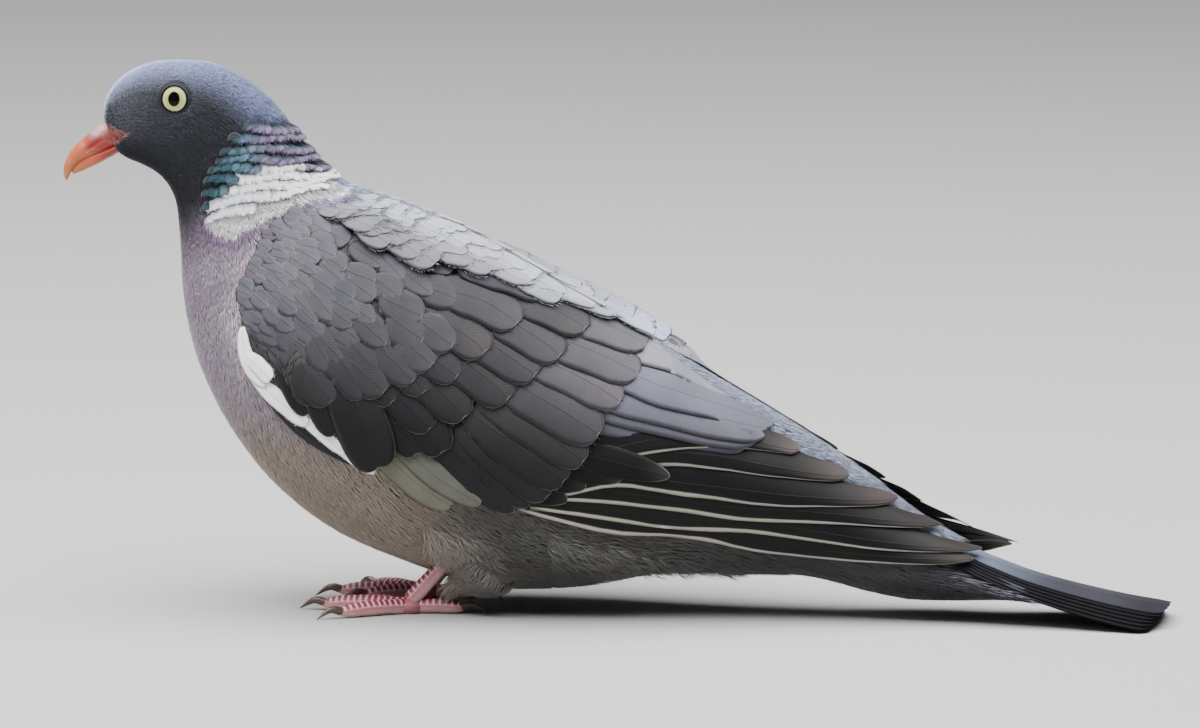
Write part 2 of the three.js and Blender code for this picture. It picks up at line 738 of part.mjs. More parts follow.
add("head", makeHead(), headGrey);
add("bill_upper", makeUpperBill(), billRed);
add("bill_lower", billPart(LOWER_BILL, LOWER_SECTION, 5), billRed);
add("neck", bodyLength(HEAD_END, NECK_END, NECK_MESH, 0, GAP), neckGrey);
add("torso", bodyLength(NECK_END, TORSO_END, TORSO_MESH, 0, GAP), breastMauve);
add("rump", bodyLength(TORSO_END, RUMP_END, RUMP_MESH, 0, GAP), ventGrey);

const rumpGrown = bodyLength(TORSO_END, RUMP_END + 0.04, RUMP_MESH, GAP);
const tail = tailRoot().add(tailFan()).subtract(rumpGrown);
add("tail", largest(aboveFloor(tail)), tailGrey);

for (const [word, side] of [["left", -1], ["right", 1]]) {
  add("eye_" + word, eyeBlob(side), irisYellow);
  add("wing_" + word, makeWing(side, bodyGrown, tailGrown), wingGrey);
  add("thigh_" + word, makeThigh(side, bodyGrown), ventGrey);
  add("tarsus_" + word, makeTarsus(side, bodyGrown), footRed);
  add("foot_" + word, makeFoot(side), footRed);
  for (const [toeName, toe] of Object.entries(TOES))
    add("claw_" + toeName + "_" + word, makeClaw(toe, side), clawHorn);
}

export default bird;
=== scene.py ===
"""A common wood pigeon, life size: one skin under a coat of feathers, with wings, tail, bill,
eyes and feet.

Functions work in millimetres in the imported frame: +X runs to the tail, the left side is at -Y
and the floor is at Z = 0. Meshes are in metres.
"""

import math

import bmesh
import bpy
import numpy as np
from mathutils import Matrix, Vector


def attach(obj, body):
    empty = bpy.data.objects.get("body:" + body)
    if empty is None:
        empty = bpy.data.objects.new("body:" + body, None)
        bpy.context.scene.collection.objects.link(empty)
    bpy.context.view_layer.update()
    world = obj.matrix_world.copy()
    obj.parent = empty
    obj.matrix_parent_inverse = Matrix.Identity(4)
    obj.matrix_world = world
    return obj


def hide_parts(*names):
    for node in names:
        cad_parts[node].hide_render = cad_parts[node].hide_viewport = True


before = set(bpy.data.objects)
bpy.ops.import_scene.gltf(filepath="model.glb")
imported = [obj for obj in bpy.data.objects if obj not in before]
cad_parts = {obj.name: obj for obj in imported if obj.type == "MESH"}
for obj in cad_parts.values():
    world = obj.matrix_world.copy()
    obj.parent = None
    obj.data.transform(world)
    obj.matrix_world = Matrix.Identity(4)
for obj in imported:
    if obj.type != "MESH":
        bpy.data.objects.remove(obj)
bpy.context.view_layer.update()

MM = 0.001
LEFT, RIGHT = -1, 1
SIDES = (("left", LEFT), ("right", RIGHT))


# ---------------------------------------------------------------- driving dimensions

# Stations of the body: [back x, back z, front x, front z, half width], face to tail tip.
STATIONS = np.array(
    [
        [-168.4, 157.8, -163.1, 147.3, 5.5],
        [-166.5, 165.9, -161.9, 146.3, 9.1],
        [-161.2, 172.3, -159.3, 144.8, 12.0],
        [-152.6, 176.4, -155.1, 143.2, 13.5],
        [-142.7, 177.4, -150.2, 140.6, 14.3],
        [-131.0, 176.4, -146.9, 137.3, 14.6],
        [-120.9, 171.4, -144.8, 133.6, 14.7],
        [-112.7, 164.7, -143.5, 129.0, 15.3],
        [-104.4, 155.0, -142.8, 121.1, 17.0],
        [-95.9, 144.5, -142.2, 112.2, 20.0],
        [-86.0, 137.4, -141.6, 102.0, 24.5],
        [-70.4, 132.4, -138.9, 87.3, 30.5],
        [-52.3, 125.8, -134.3, 74.3, 36.5],
        [-34.2, 116.6, -125.7, 58.1, 41.5],
        [-16.1, 106.3, -111.5, 40.3, 44.0],
        [2.0, 95.8, -91.8, 25.3, 44.5],
        [20.1, 84.6, -67.1, 15.0, 42.5],
        [36.5, 75.0, -40.8, 7.4, 38.0],
        [51.3, 66.6, -11.2, 8.0, 32.5],
        [64.5, 58.6, 15.1, 12.8, 27.5],
        [77.7, 50.0, 41.5, 13.3, 23.5],
        [90.8, 40.8, 64.5, 12.8, 20.5],
        [104.0, 31.6, 87.5, 7.7, 19.0],
        [122.1, 22.8, 113.9, 4.0, 18.0],
        [150.0, 14.5, 146.0, 1.5, 22.0],
        [181.0, 9.8, 181.0, 0.0, 26.0],
    ]
)
NECK_END, RUMP_END, COVERTS_END = 10.1, 22.4, 24.0
LAST_STATION = 25
FULLNESS = 2.15  # power of the body's round sections
HEAD_EGG = 0.12  # share by which a section is narrower above, at the face
STEP = 0.02  # for tangents, in stations and radians
BAKE_SPOT, QUILL_SPOT = 0.003, 0.012  # sizes of a feather's spot on the bake map
EVEN_STEPS = (0.7548776662, 0.5698402910)  # shares that spread places evenly over a square
TAIL_LINE = np.array(
    [[98, 32.4], [104, 29.2], [113, 24.8], [122, 20.6], [136, 15.6], [150, 11.9], [166, 8.5], [181, 6.1]]
)
TAIL_ARCH = (6.5, 3.4, 27.0)  # drop at 27 mm from the middle, at root and tip
TAIL_SPAN = (101.0, 181.0)
EYE = {"x": -142.2, "y": 9.4, "z": 165.7, "radius": 6.2, "depth": 5.2}
EYE_STATION = (4.29, math.radians(66))


# ---------------------------------------------------------------- numbers and curves


def smooth_rows(table, at):
    """Rows of a table at fractional indices, on a smooth curve through its rows."""
    table = np.asarray(table, float)
    padded = np.vstack([2 * table[0] - table[1], table, 2 * table[-1] - table[-2]])
    at = np.asarray(at, float)
    i = np.clip(np.floor(at).astype(int), 0, len(table) - 2)
    f = (at - i)[..., None]
    a, b, c, d = (padded[i + k] for k in range(4))
    return 0.5 * (
        2 * b + (c - a) * f + (2 * a - 5 * b + 4 * c - d) * f**2 + (3 * b - a - 3 * c + d) * f**3
    )


def smoothstep(low, high, value):
    t = np.clip((value - low) / (high - low), 0, 1)
    return t * t * (3 - 2 * t)


def lerp(a, b, t):
    return a + (b - a) * t


def unit(vectors):
    return vectors / np.maximum(np.linalg.norm(vectors, axis=-1, keepdims=True), 1e-9)


def run_along(lines):
    """How far the points of lines are from their line's start, along it."""
    steps = np.linalg.norm(np.diff(lines, axis=-2), axis=-1)
    return np.concatenate([np.zeros((*steps.shape[:-1], 1)), np.cumsum(steps, -1)], -1)


def along_line(points, count):
    """Points at even steps along a polyline."""
    points = np.asarray(points, float)
    way = run_along(points)
    index = np.interp(np.linspace(0, way[-1], count), way, np.arange(len(points)))
    return smooth_rows(points, index)


def inside(points, outline):
    """How far points lie inside an outline, negative outside it."""
    outline = np.asarray(outline, float)
    distance = np.full(points.shape[:-1], 1e9)
    crossings = np.zeros(points.shape[:-1], int)
    for a, b in zip(outline, np.roll(outline, -1, axis=0)):
        edge = b - a
        t = np.clip(((points - a) @ edge) / (edge @ edge), 0, 1)
        gap = points - (a + t[..., None] * edge)
        distance = np.minimum(distance, np.hypot(gap[..., 0], gap[..., 1]))
        straddles = (a[1] > points[..., 1]) != (b[1] > points[..., 1])
        slope = edge[0] / edge[1] if edge[1] else 0.0
        crossings += straddles & (points[..., 0] < a[0] + slope * (points[..., 1] - a[1]))
    return np.where(crossings % 2 == 1, distance, -distance)


def ripple(points, scale, seed=0.0):
    """Smooth noise from -1 to 1 over points, from a few crossed waves."""
    x, y, z = (points[..., k] / scale for k in range(3))
    waves = (
        np.sin(1.7 * x + 2.3 * z + 1.1 * y + seed)
        + np.sin(-2.9 * x + 1.3 * z + 2.1 * y + 1.7 * seed)
        + np.sin(4.1 * x + 3.7 * z - 1.9 * y + 2.3 * seed)
        + np.sin(1.1 * x - 5.3 * z + 3.1 * y + 0.7 * seed)
    )
    return waves / 4


# ---------------------------------------------------------------- forms that feathers grow on


class Form:
    """A surface over two numbers, with its tangents, outward normal and moves along it."""

    def __init__(self, point, outward=1):
        self.point = point
        self.outward = outward

    def frame(self, a, b):
        along = (self.point(a + STEP, b) - self.point(a - STEP, b)) / (2 * STEP)
        across = (self.point(a, b + STEP) - self.point(a, b - STEP)) / (2 * STEP)
        return along, across, self.outward * unit(np.cross(along, across))

    def lifted(self, a, b, lift):
        normal = self.frame(a, b)[2]
        return self.point(a, b) + normal * np.asarray(lift)[..., None]

    def moved(self, a, b, step):
        """The place reached from (a, b) by a step in space, kept on the surface."""
        along, across, _ = self.frame(a, b)
        aa, ab, bb = (np.sum(p * q, -1) for p, q in ((along, along), (along, across), (across,) * 2))
        p, q = np.sum(along * step, -1), np.sum(across * step, -1)
        area = np.maximum(aa * bb - ab * ab, 1e-6)
        return a + (p * bb - q * ab) / area, b + (q * aa - p * ab) / area


def tail_top(x):
    index = np.interp(x, TAIL_LINE[:, 0], np.arange(len(TAIL_LINE)))
    return smooth_rows(TAIL_LINE[:, 1:], index)[..., 0]


def tail_share(x):
    return (x - TAIL_SPAN[0]) / (TAIL_SPAN[1] - TAIL_SPAN[0])


def tail_point(x, y):
    drop = lerp(TAIL_ARCH[0], TAIL_ARCH[1], tail_share(x)) * (y / TAIL_ARCH[2]) ** 2
    return np.stack(np.broadcast_arrays(x, y, tail_top(x) - drop), -1)


def body_point(u, phi):
    """The body at a station and an angle from the back line, the left side at angles over 0."""
    rows = smooth_rows(STATIONS, np.clip(u, 0, LAST_STATION))
    back_x, back_z, front_x, front_z, half = np.moveaxis(rows, -1, 0)
    c = np.cos(phi)
    egg = HEAD_EGG * np.clip(1 - u / NECK_END, 0, 1)
    across = np.clip(1 - np.abs(c) ** FULLNESS, 0, None) ** (1 / FULLNESS)
    t = (c + 1) / 2
    x, z = lerp(front_x, back_x, t), lerp(front_z, back_z, t)
    y = -np.sign(np.sin(phi)) * half * across * (1 - egg * c)
    share = np.clip((u - RUMP_END) / (COVERTS_END - RUMP_END), 0, 1)
    sink = 0.25 * share + 0.65 * share**3
    under = tail_point(x, y)[..., 2] - 2.2
    return np.stack([x, y, lerp(z, under, sink)], -1)


body = Form(body_point, outward=-1)
tail_form = Form(tail_point)
STATION_GRID = np.linspace(0, LAST_STATION - 0.02, 900)
STATION_ROWS = smooth_rows(STATIONS, STATION_GRID)


def locate(x, z, first=0.0):
    """Station and angle on the left side of the place seen at (x, z) from the side."""
    rows = STATION_ROWS[STATION_GRID >= first]
    grid = STATION_GRID[STATION_GRID >= first]
    x, z = np.asarray(x, float), np.asarray(z, float)
    off = (rows[:, 0] - rows[:, 2]) * (z[..., None] - rows[:, 3]) - (rows[:, 1] - rows[:, 3]) * (
        x[..., None] - rows[:, 2]
    )
    turns = off[..., :-1] * off[..., 1:] <= 0
    i = np.where(turns.any(-1), turns.argmax(-1), len(grid) - 2)
    low, high = (np.take_along_axis(off, (i + k)[..., None], -1)[..., 0] for k in (0, 1))
    f = np.clip(low / np.where(low == high, 1, low - high), 0, 1)
    u = grid[i] + f * (grid[1] - grid[0])
    row = smooth_rows(STATIONS, u)
    dx, dz = row[..., 0] - row[..., 2], row[..., 1] - row[..., 3]
    share = ((x - row[..., 2]) * dx + (z - row[..., 3]) * dz) / (dx**2 + dz**2)
    return u, np.arccos(np.clip(2 * share - 1, -0.9995, 0.9995))


# ---------------------------------------------------------------- colours and markings


def colour(red, green, blue):
    """A colour given as it looks on a screen, as the linear values that a shader takes."""
    c = np.array([red, green, blue]) / 255
    return np.where(c <= 0.04045, c / 12.92, ((c + 0.055) / 1.055) ** 2.4)


# The head's real slate grey, painted darker as shade on the face, the chin painted dark as shade under the
# head, and the crown's pale blue a painted sheen on top
SHADED_SLATE = colour(46, 47, 54)
CROWN_SHEEN = colour(172, 184, 238)
SHADED_CHIN = colour(46, 48, 50)
TEAL = colour(38, 86, 94)
PALE_TEAL = colour(88, 122, 144)
LILAC = colour(124, 108, 142)
VIOLET = colour(150, 118, 164)
# dark teal painted as shade in the troughs between the neck's ridges
TROUGH_SHADE_TEAL = colour(26, 44, 52)
WHITE = colour(255, 255, 255)
PATCH_SHADE = colour(170, 176, 186)
MAUVE = colour(188, 172, 190)
# the breast's pink, painted paler as a highlight where light falls on the front of the shoulder
LIT_ROSY = colour(246, 228, 242)
BUFF = colour(176, 160, 146)
# the flanks' and vent's grey, painted darker as shade under the body
SHADED_FLANK = colour(98, 96, 93)
SHADED_VENT = colour(74, 75, 77)
RUMP = colour(172, 182, 208)
# the mantle's grey, painted lighter as a highlight on top and darker as shade down the side
LIT_MANTLE = colour(170, 174, 184)
SHADED_MANTLE = colour(116, 113, 120)
COVERT_BLUE = colour(92, 91, 100)
COVERT = colour(71, 69, 74)
GREATER = colour(92, 90, 95)
TERTIAL = colour(134, 133, 144)
TERTIAL_TAN = colour(138, 131, 134)
SECONDARY = colour(108, 108, 122)
PRIMARY = colour(15, 13, 14)
PRIMARY_TIP = colour(98, 88, 86)
PALE_EDGE = colour(196, 190, 178)
TAN_EDGE = colour(168, 152, 146)
CREAM = colour(97, 96, 86)
WISP_GREY = colour(190, 184, 180)
BLACK_BLUE = colour(15, 17, 22)
TAIL_GREY = colour(52, 51, 57)
TAIL_DARK = colour(32, 31, 35)
# the tail's real dark underside, darkened further as painted shade under the upper pair
UNDERSIDE_AND_SHADE = colour(14, 14, 16)
NECK_FRONT = np.array(
    [[-114, 164], [-118, 158.4], [-123.1, 151.8], [-127.8, 144.9], [-131.2, 137.9], [-132.5, 127.4]]
)
WHITE_PATCH = [
    (-121.4, 141.0), (-101.7, 143.4), (-86.0, 139.5), (-88.5, 136.4), (-96.8, 135.0), (-106.3, 132.2),
    (-115.9, 128.0), (-123.5, 123.0), (-129.0, 124.6), (-132.5, 127.4), (-128.6, 131.0), (-126.6, 134.0),
    (-121.6, 135.8),
]
ROSY_BREAST = [(-112, 128), (-121, 112), (-124, 96), (-118, 80), (-112, 92), (-112, 108), (-104, 126)]


def blend(base, over, share):
    return base + (over - base) * np.clip(share, 0, 1)[..., None]


def layered(tint, *layers):
    """A colour with others laid over it in turn, each given with its share."""
    for over, share in layers:
        tint = blend(tint, over, share)
    return tint


def neck_front(z):
    """Where the gloss starts on the front of the neck."""
    return np.interp(-z, -NECK_FRONT[:, 1], NECK_FRONT[:, 0])


def gloss_share(u, p, rough=0.0):
    """Where the neck's furrowed gloss is."""
    x, z = p[..., 0], p[..., 2]
    share = smoothstep(-1.0, 1.5, x - neck_front(z) + rough)
    share = share * smoothstep(5.9, 6.5, u) * smoothstep(9.6, 8.8, u)
    return share * smoothstep(124, 130, z + 0.35 * (x + 120)) * smoothstep(163, 159, z + 0.05 * (x + 120))


def gloss_colour(p, slow):
    """Teal in front and below, through pale blue to lilac behind."""
    back = p[..., 0] + 0.3 * (p[..., 2] - 145) + 2 * slow
    return layered(TEAL, (PALE_TEAL, smoothstep(-127, -119, back)), (LILAC, smoothstep(-119, -108, back)))


def body_colour(u, phi):
    """The markings of skin and coat at a station and angle."""
    p = body_point(u, phi)
    x, z = p[..., 0], p[..., 2]
    side = np.stack([x, z], -1)
    turn = np.abs(np.degrees(phi))
    rough, slow = ripple(p, 2.2, 1.0), ripple(p, 14.0, 4.0)
    low = 122 - 7 * smoothstep(100, 160, turn) + 2 * rough
    crease = crease_share(u, phi)
    # painted shade down towards the crease over the wing, less of it behind
    crease_shade = smoothstep(0.3, 0.85, crease) * lerp(1.0, 0.4, smoothstep(12.5, 15.0, u))
    above = np.maximum(smoothstep(92, 66, turn), smoothstep(1.15, 1.0, crease))
    patch = inside(side, WHITE_PATCH)
    not_nape = smoothstep(7, 13, turn)
    fringe = smoothstep(-5.0, -0.5, patch + 0.8 * rough) * not_nape * smoothstep(142, 136, z)
    green = np.exp(-(((x + 82) / 9) ** 2)) * smoothstep(45, 15, turn) * smoothstep(8.5, 9.5, u)
    corner = blend(BILL_RED, BILL_CERE, 0.25 + 0.5 * ripple(p, 1.6, 2.0))
    tint = layered(
        SHADED_SLATE,
        # painted sheen on the crown, painted shade under the chin
        (CROWN_SHEEN, smoothstep(64, 14, turn) * 0.85),
        (SHADED_CHIN, smoothstep(120, 165, turn) * 0.5),
        # breast and belly, then flanks and vent in grey painted darker as shade under the body
        (MAUVE, smoothstep(low + 18, low - 8, z)),
        (BUFF, smoothstep(82, 48, z) * smoothstep(5, -30, x)),
        (SHADED_FLANK, smoothstep(-62, -22, x + 0.35 * z) * smoothstep(95, 60, z)),
        (SHADED_VENT, smoothstep(10, 62, x)),
        # painted shade on the lower half of the rear, under the tail
        (SHADED_VENT * 0.5, smoothstep(70, 105, x) * smoothstep(75, 105, turn)),
        (TAIL_GREY, smoothstep(92, 104, x) * smoothstep(25, 45, turn)),
        # painted highlight: the pink breast paler in front of the shoulder
        (LIT_ROSY, smoothstep(-5, 3, inside(side, ROSY_BREAST)) * 0.8),
        # the back: the mantle painted light on top and shaded down towards the crease, then the rump
        (blend(LIT_MANTLE, SHADED_MANTLE, crease_shade), smoothstep(9.4, 10.4, u) * smoothstep(16.5, 15.5, u) * above),
        (RUMP, smoothstep(15.0, 16.5, u) * smoothstep(80, 60, turn + 45 * smoothstep(80, 95, x))),
        # the neck's gloss, at half strength as painted shade in the troughs of its furrows, the white patch,
        # and the bare corner of the bill
        (gloss_colour(p, slow) * 0.5, gloss_share(u, p, rough)),
        (VIOLET, fringe * 0.75),
        (WHITE, smoothstep(-0.5, 0.5, patch + 0.9 * rough) * not_nape),
        (PALE_TEAL, green * 0.35),
        (corner * 0.8, smoothstep(-0.6, 0.2, inside(side, GAPE))),
    )
    return tint * (1 + 0.04 * slow[..., None])


# ---------------------------------------------------------------- materials


class Amount:
    """A shader socket on which Python maths adds Math nodes."""

    def __init__(self, paint, socket):
        self.paint, self.socket = paint, socket

    def maths(self, operation, *values):
        made = self.paint.node("ShaderNodeMath", {"operation": operation}, dict(enumerate(values)))
        return Amount(self.paint, made.outputs[0])

    def __add__(self, other):
        return self.maths("ADD", self, other)

    def __sub__(self, other):
        return self.maths("SUBTRACT", self, other)

    def __rsub__(self, other):
        return self.maths("SUBTRACT", other, self)

    def __mul__(self, other):
        return self.maths("MULTIPLY", self, other)

    def __truediv__(self, other):
        return self.maths("DIVIDE", self, other)

    def __pow__(self, other):
        return self.maths("POWER", self, other)

    def __abs__(self):
        return self.maths("ABSOLUTE", self)

    def sine(self):
        return self.maths("SINE", self)

    __radd__ = __add__
    __rmul__ = __mul__


class Paint:
    """A material and its nodes."""

    def __init__(self, name, **constants):
        self.material = bpy.data.materials.new(name)
        self.material.use_nodes = True
        self.tree = self.material.node_tree
        self.shader = self.tree.nodes["Principled BSDF"]
        for socket, value in constants.items():
            self.feed(self.shader, socket.replace("_", " "), value)

    def feed(self, node, key, value):
        """Sets a node's socket to a value, or links another socket to it."""
        value = value.socket if isinstance(value, Amount) else value
        if isinstance(value, bpy.types.NodeSocket):
            self.tree.links.new(value, node.inputs[key])
        else:
            node.inputs[key].default_value = value

    def node(self, kind, settings=None, inputs=None):
        made = self.tree.nodes.new(kind)
        for key, value in (settings or {}).items():
            setattr(made, key, value)
        for key, value in (inputs or {}).items():
            self.feed(made, key, value)
        return made

    def amount(self, made, output=0):
        return Amount(self, made.outputs[output])

    def places(self):
        return self.node("ShaderNodeTexCoord").outputs["Object"]

    def noise(self, scale, detail, vector=None):
        inputs = {"Scale": scale, "Detail": detail, "Vector": vector or self.places()}
        return self.amount(self.node("ShaderNodeTexNoise", None, inputs))

    def attribute(self, name, output="Fac"):
        return self.node("ShaderNodeAttribute", {"attribute_name": name}).outputs[output]

    def shade(self):
        """The colour that a mesh carries at its points."""
        return self.attribute("shade", "Color")

    def step(self, value, low, high):
        inputs = {"Value": value, "From Min": low, "From Max": high}
        return self.amount(self.node("ShaderNodeMapRange", {"interpolation_type": "SMOOTHSTEP"}, inputs))

    def mix(self, share, first, second, blend_type="MIX"):
        settings = {"data_type": "RGBA", "blend_type": blend_type}
        made = self.node("ShaderNodeMix", settings, {0: share, 6: rgba(first), 7: rgba(second)})
        return made.outputs[2]

    def scaled(self, tint, amount):
        """A colour made darker or lighter by an amount."""
        grey = self.node("ShaderNodeCombineColor", None, {0: amount, 1: amount, 2: amount})
        return self.mix(1.0, tint, grey.outputs[0], "MULTIPLY")

    def axis(self, vector, x=0.0, y=0.0, z=0.0):
        """The component of a vector along a direction."""
        made = self.node("ShaderNodeVectorMath", {"operation": "DOT_PRODUCT"}, {0: vector, 1: (x, y, z)})
        return self.amount(made, "Value")

    def finish(self, tint, height=None, relief=0.0):
        """Gives the shader its colour and, where there is a height, a bump of that relief in metres."""
        self.feed(self.shader, "Base Color", tint)
        if height is not None:
            bump = self.node("ShaderNodeBump", None, {"Distance": relief, "Height": height})
            self.feed(self.shader, "Normal", bump.outputs["Normal"])
        return self.material


def rgba(value):
    if isinstance(value, (bpy.types.NodeSocket, Amount)):
        return value
    return (*[float(v) for v in value], 1.0)


def down_material(name, sheen=0.06):
    """Soft small feathers: their own markings with a little mottling and a faint sheen."""
    paint = Paint(
        name, Roughness=0.9, Sheen_Weight=sheen, Sheen_Roughness=0.5, Specular_IOR_Level=0.25,
        Subsurface_Weight=0.3, Subsurface_Radius=(1.0, 1.0, 1.0), Subsurface_Scale=0.001,
    )
    return paint.finish(paint.scaled(paint.shade(), paint.noise(500, 3) * 0.16 + 0.92))


def vane_material(name, rim, rim_width, rim_share, gloss, line, outer=0.0, shine=0.2):
    """A firm feather: barbs slanting from the shaft, a shaft line, worn pale rims at the tip
    and a painted shadow line along the sides, where the next feather overlaps. Widths are in
    millimetres, outer that of a pale outer edge."""
    paint = Paint(name, Roughness=gloss, Sheen_Weight=0.05, Sheen_Roughness=0.4, Specular_IOR_Level=shine)
    vane = paint.node("ShaderNodeUVMap", {"uv_map": "vane"}).outputs[0]
    across, down = paint.axis(vane, x=1.0), paint.axis(vane, y=1.0)
    slant = down - abs(across) * 0.8
    barbs = (slant * 9.0).sine()
    along = paint.node("ShaderNodeCombineXYZ", None, {0: slant * 3.0, 1: across * 0.3}).outputs[0]
    streak = paint.noise(1.0, 3, along)
    tint = paint.scaled(paint.shade(), streak * 0.34 + 0.83 + barbs * 0.03)
    tint = paint.scaled(tint, paint.noise(150, 3) * 0.3 + 0.85)
    shaft_line = 1 - paint.step(abs(across), 0.1, 0.28)
    tint = paint.mix(shaft_line * 0.6, tint, paint.scaled(tint, 0.7))
    from_edge = Amount(paint, paint.attribute("edge"))
    edge = from_edge / (paint.noise(500, 2) * 0.9 + 0.55)
    at_tip = paint.step(down, -9.0, -3.0)
    # painted shadow along the sides, where the next feather overlaps
    side = (1 - paint.step(edge, 0.1, 0.5)) * (1 - at_tip)
    tint = paint.mix(side * line, tint, paint.scaled(tint, 0.25))
    rim_mask = (1 - paint.step(edge, rim_width * 0.35, rim_width)) * at_tip
    tint = paint.mix(rim_mask * rim_share, tint, rim)
    if outer:
        plain = from_edge / (paint.noise(50, 2) * 0.8 + 0.6)
        plain = plain / (paint.step(down, -4.0, -90.0) + 0.12)
        vane_edge = (1 - paint.step(plain, outer * 0.6, outer)) * (1 - paint.step(across, -0.4, 0.0))
        tint = paint.mix(vane_edge * (1 - at_tip) * 0.8, tint, PALE_EDGE)
    return paint.finish(tint, height=barbs * 0.4 + shaft_line * 2.0 + streak * 0.8, relief=0.00006)


# ---------------------------------------------------------------- meshes


def shade_mesh(mesh, tint):
    """Gives a mesh its colour at every point."""
    attribute = mesh.attributes.new("shade", "FLOAT_COLOR", "POINT")
    full = np.concatenate([np.clip(tint, 0, 1), np.ones((len(tint), 1))], 1)
    attribute.data.foreach_set("color", full.astype(np.float32).ravel())


def new_piece(name, mesh, materials):
    for material in materials:
        mesh.materials.append(material)
    piece = bpy.data.objects.new(name, mesh)
    bpy.context.scene.collection.objects.link(piece)
    return piece


def closed_piece(name, shell, materials):
    """A smooth piece from a closed bmesh, its faces turned outwards."""
    shell.normal_update()
    bmesh.ops.recalc_face_normals(shell, faces=shell.faces)
    for face in shell.faces:
        face.smooth = True
    mesh = bpy.data.meshes.new(name)
    shell.to_mesh(mesh)
    shell.free()
    return new_piece(name, mesh, materials)


def joined_mesh(name, points, faces, shade, bake, vane, edge, face_material, materials):
    """A piece from arrays of points in millimetres and of triangles."""
    mesh = bpy.data.meshes.new(name)
    mesh.vertices.add(len(points))
    mesh.vertices.foreach_set("co", (points * MM).astype(np.float32).ravel())
    mesh.loops.add(faces.size)
    mesh.loops.foreach_set("vertex_index", faces.ravel().astype(np.int32))
    mesh.polygons.add(len(faces))
    mesh.polygons.foreach_set("loop_start", np.arange(len(faces), dtype=np.int32) * 3)
    mesh.polygons.foreach_set("use_smooth", np.ones(len(faces), bool))
    piece = new_piece(name, mesh, materials)
    mesh.polygons.foreach_set("material_index", face_material.astype(np.int32))
    mesh.update(calc_edges=True)
    for label, values in (("OFBake", bake), ("vane", vane)):
        layer = mesh.uv_layers.new(name=label)
        layer.data.foreach_set("uv", values[faces.ravel()].astype(np.float32).ravel())
    shade_mesh(mesh, shade)
    attribute = mesh.attributes.new("edge", "FLOAT", "POINT")
    attribute.data.foreach_set("value", edge.astype(np.float32).ravel())
    mesh.validate()
    return piece


def settle(piece, slot, *nodes):
    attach(piece, "root")
    if nodes:
        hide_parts(*nodes)
    return piece


class Batch:
    """Feathers gathered for one piece."""

    def __init__(self):
        self.parts = []
        self.count = 0

    def add(self, points, faces, shade, bake, vane, edge, material=0):
        faces = faces + self.count
        self.parts.append((points, faces, shade, bake, vane, edge, np.full(len(faces), material)))
        self.count += len(points)

    def mirrored(self):
        """The same feathers on the other side."""
        other = Batch()
        for points, faces, shade, bake, vane, edge, material in self.parts:
            flipped = np.stack([bake[:, 0], 1 - bake[:, 1]], -1)
            other.parts.append((points * (1, -1, 1), faces[:, ::-1], shade, flipped, vane, edge, material))
        other.count = self.count
        return other

    def take(self, other):
        """Adds the feathers of another batch."""
        self.parts += [(part[0], part[1] + self.count, *part[2:]) for part in other.parts]
        self.count += other.count

    def piece(self, name, materials):
        return joined_mesh(name, *(np.concatenate(column) for column in zip(*self.parts)), materials)


def skin_place(u, phi):
    """Places on the bake map for a station and an angle, the left side in its upper half."""
    return np.stack([0.01 + 0.98 * u / LAST_STATION, 0.5 + 0.49 * phi / np.pi], -1)


# ---------------------------------------------------------------- small soft feathers


def bake_spots(roots, owner, run, wide, size=BAKE_SPOT):
    """A small spot of the bake map for each feather, round the place of its root."""
    corner = np.stack([run - 0.5, wide * 0.5], -1) * size
    return np.clip(roots[owner] + corner, 0.001, 0.999)


STRAND_RUN = np.array([0.0, 0.45, 1.0])
STRAND_HALVES, STRAND_RIDGE = (0.34, 0.5), 0.26  # half widths and height, as shares of the width
BARB_WIDTH = 0.24
STRAND_FACES = np.array(
    [
        (0, 1, 4), (0, 4, 3), (1, 2, 5), (1, 5, 4), (2, 0, 3), (2, 3, 5), (3, 4, 6), (4, 5, 6), (5, 3, 6),
        (2, 1, 0),
    ]
)
STRAND_ACROSS = np.array([-1, 0, 1, -1, 0, 1, 0])


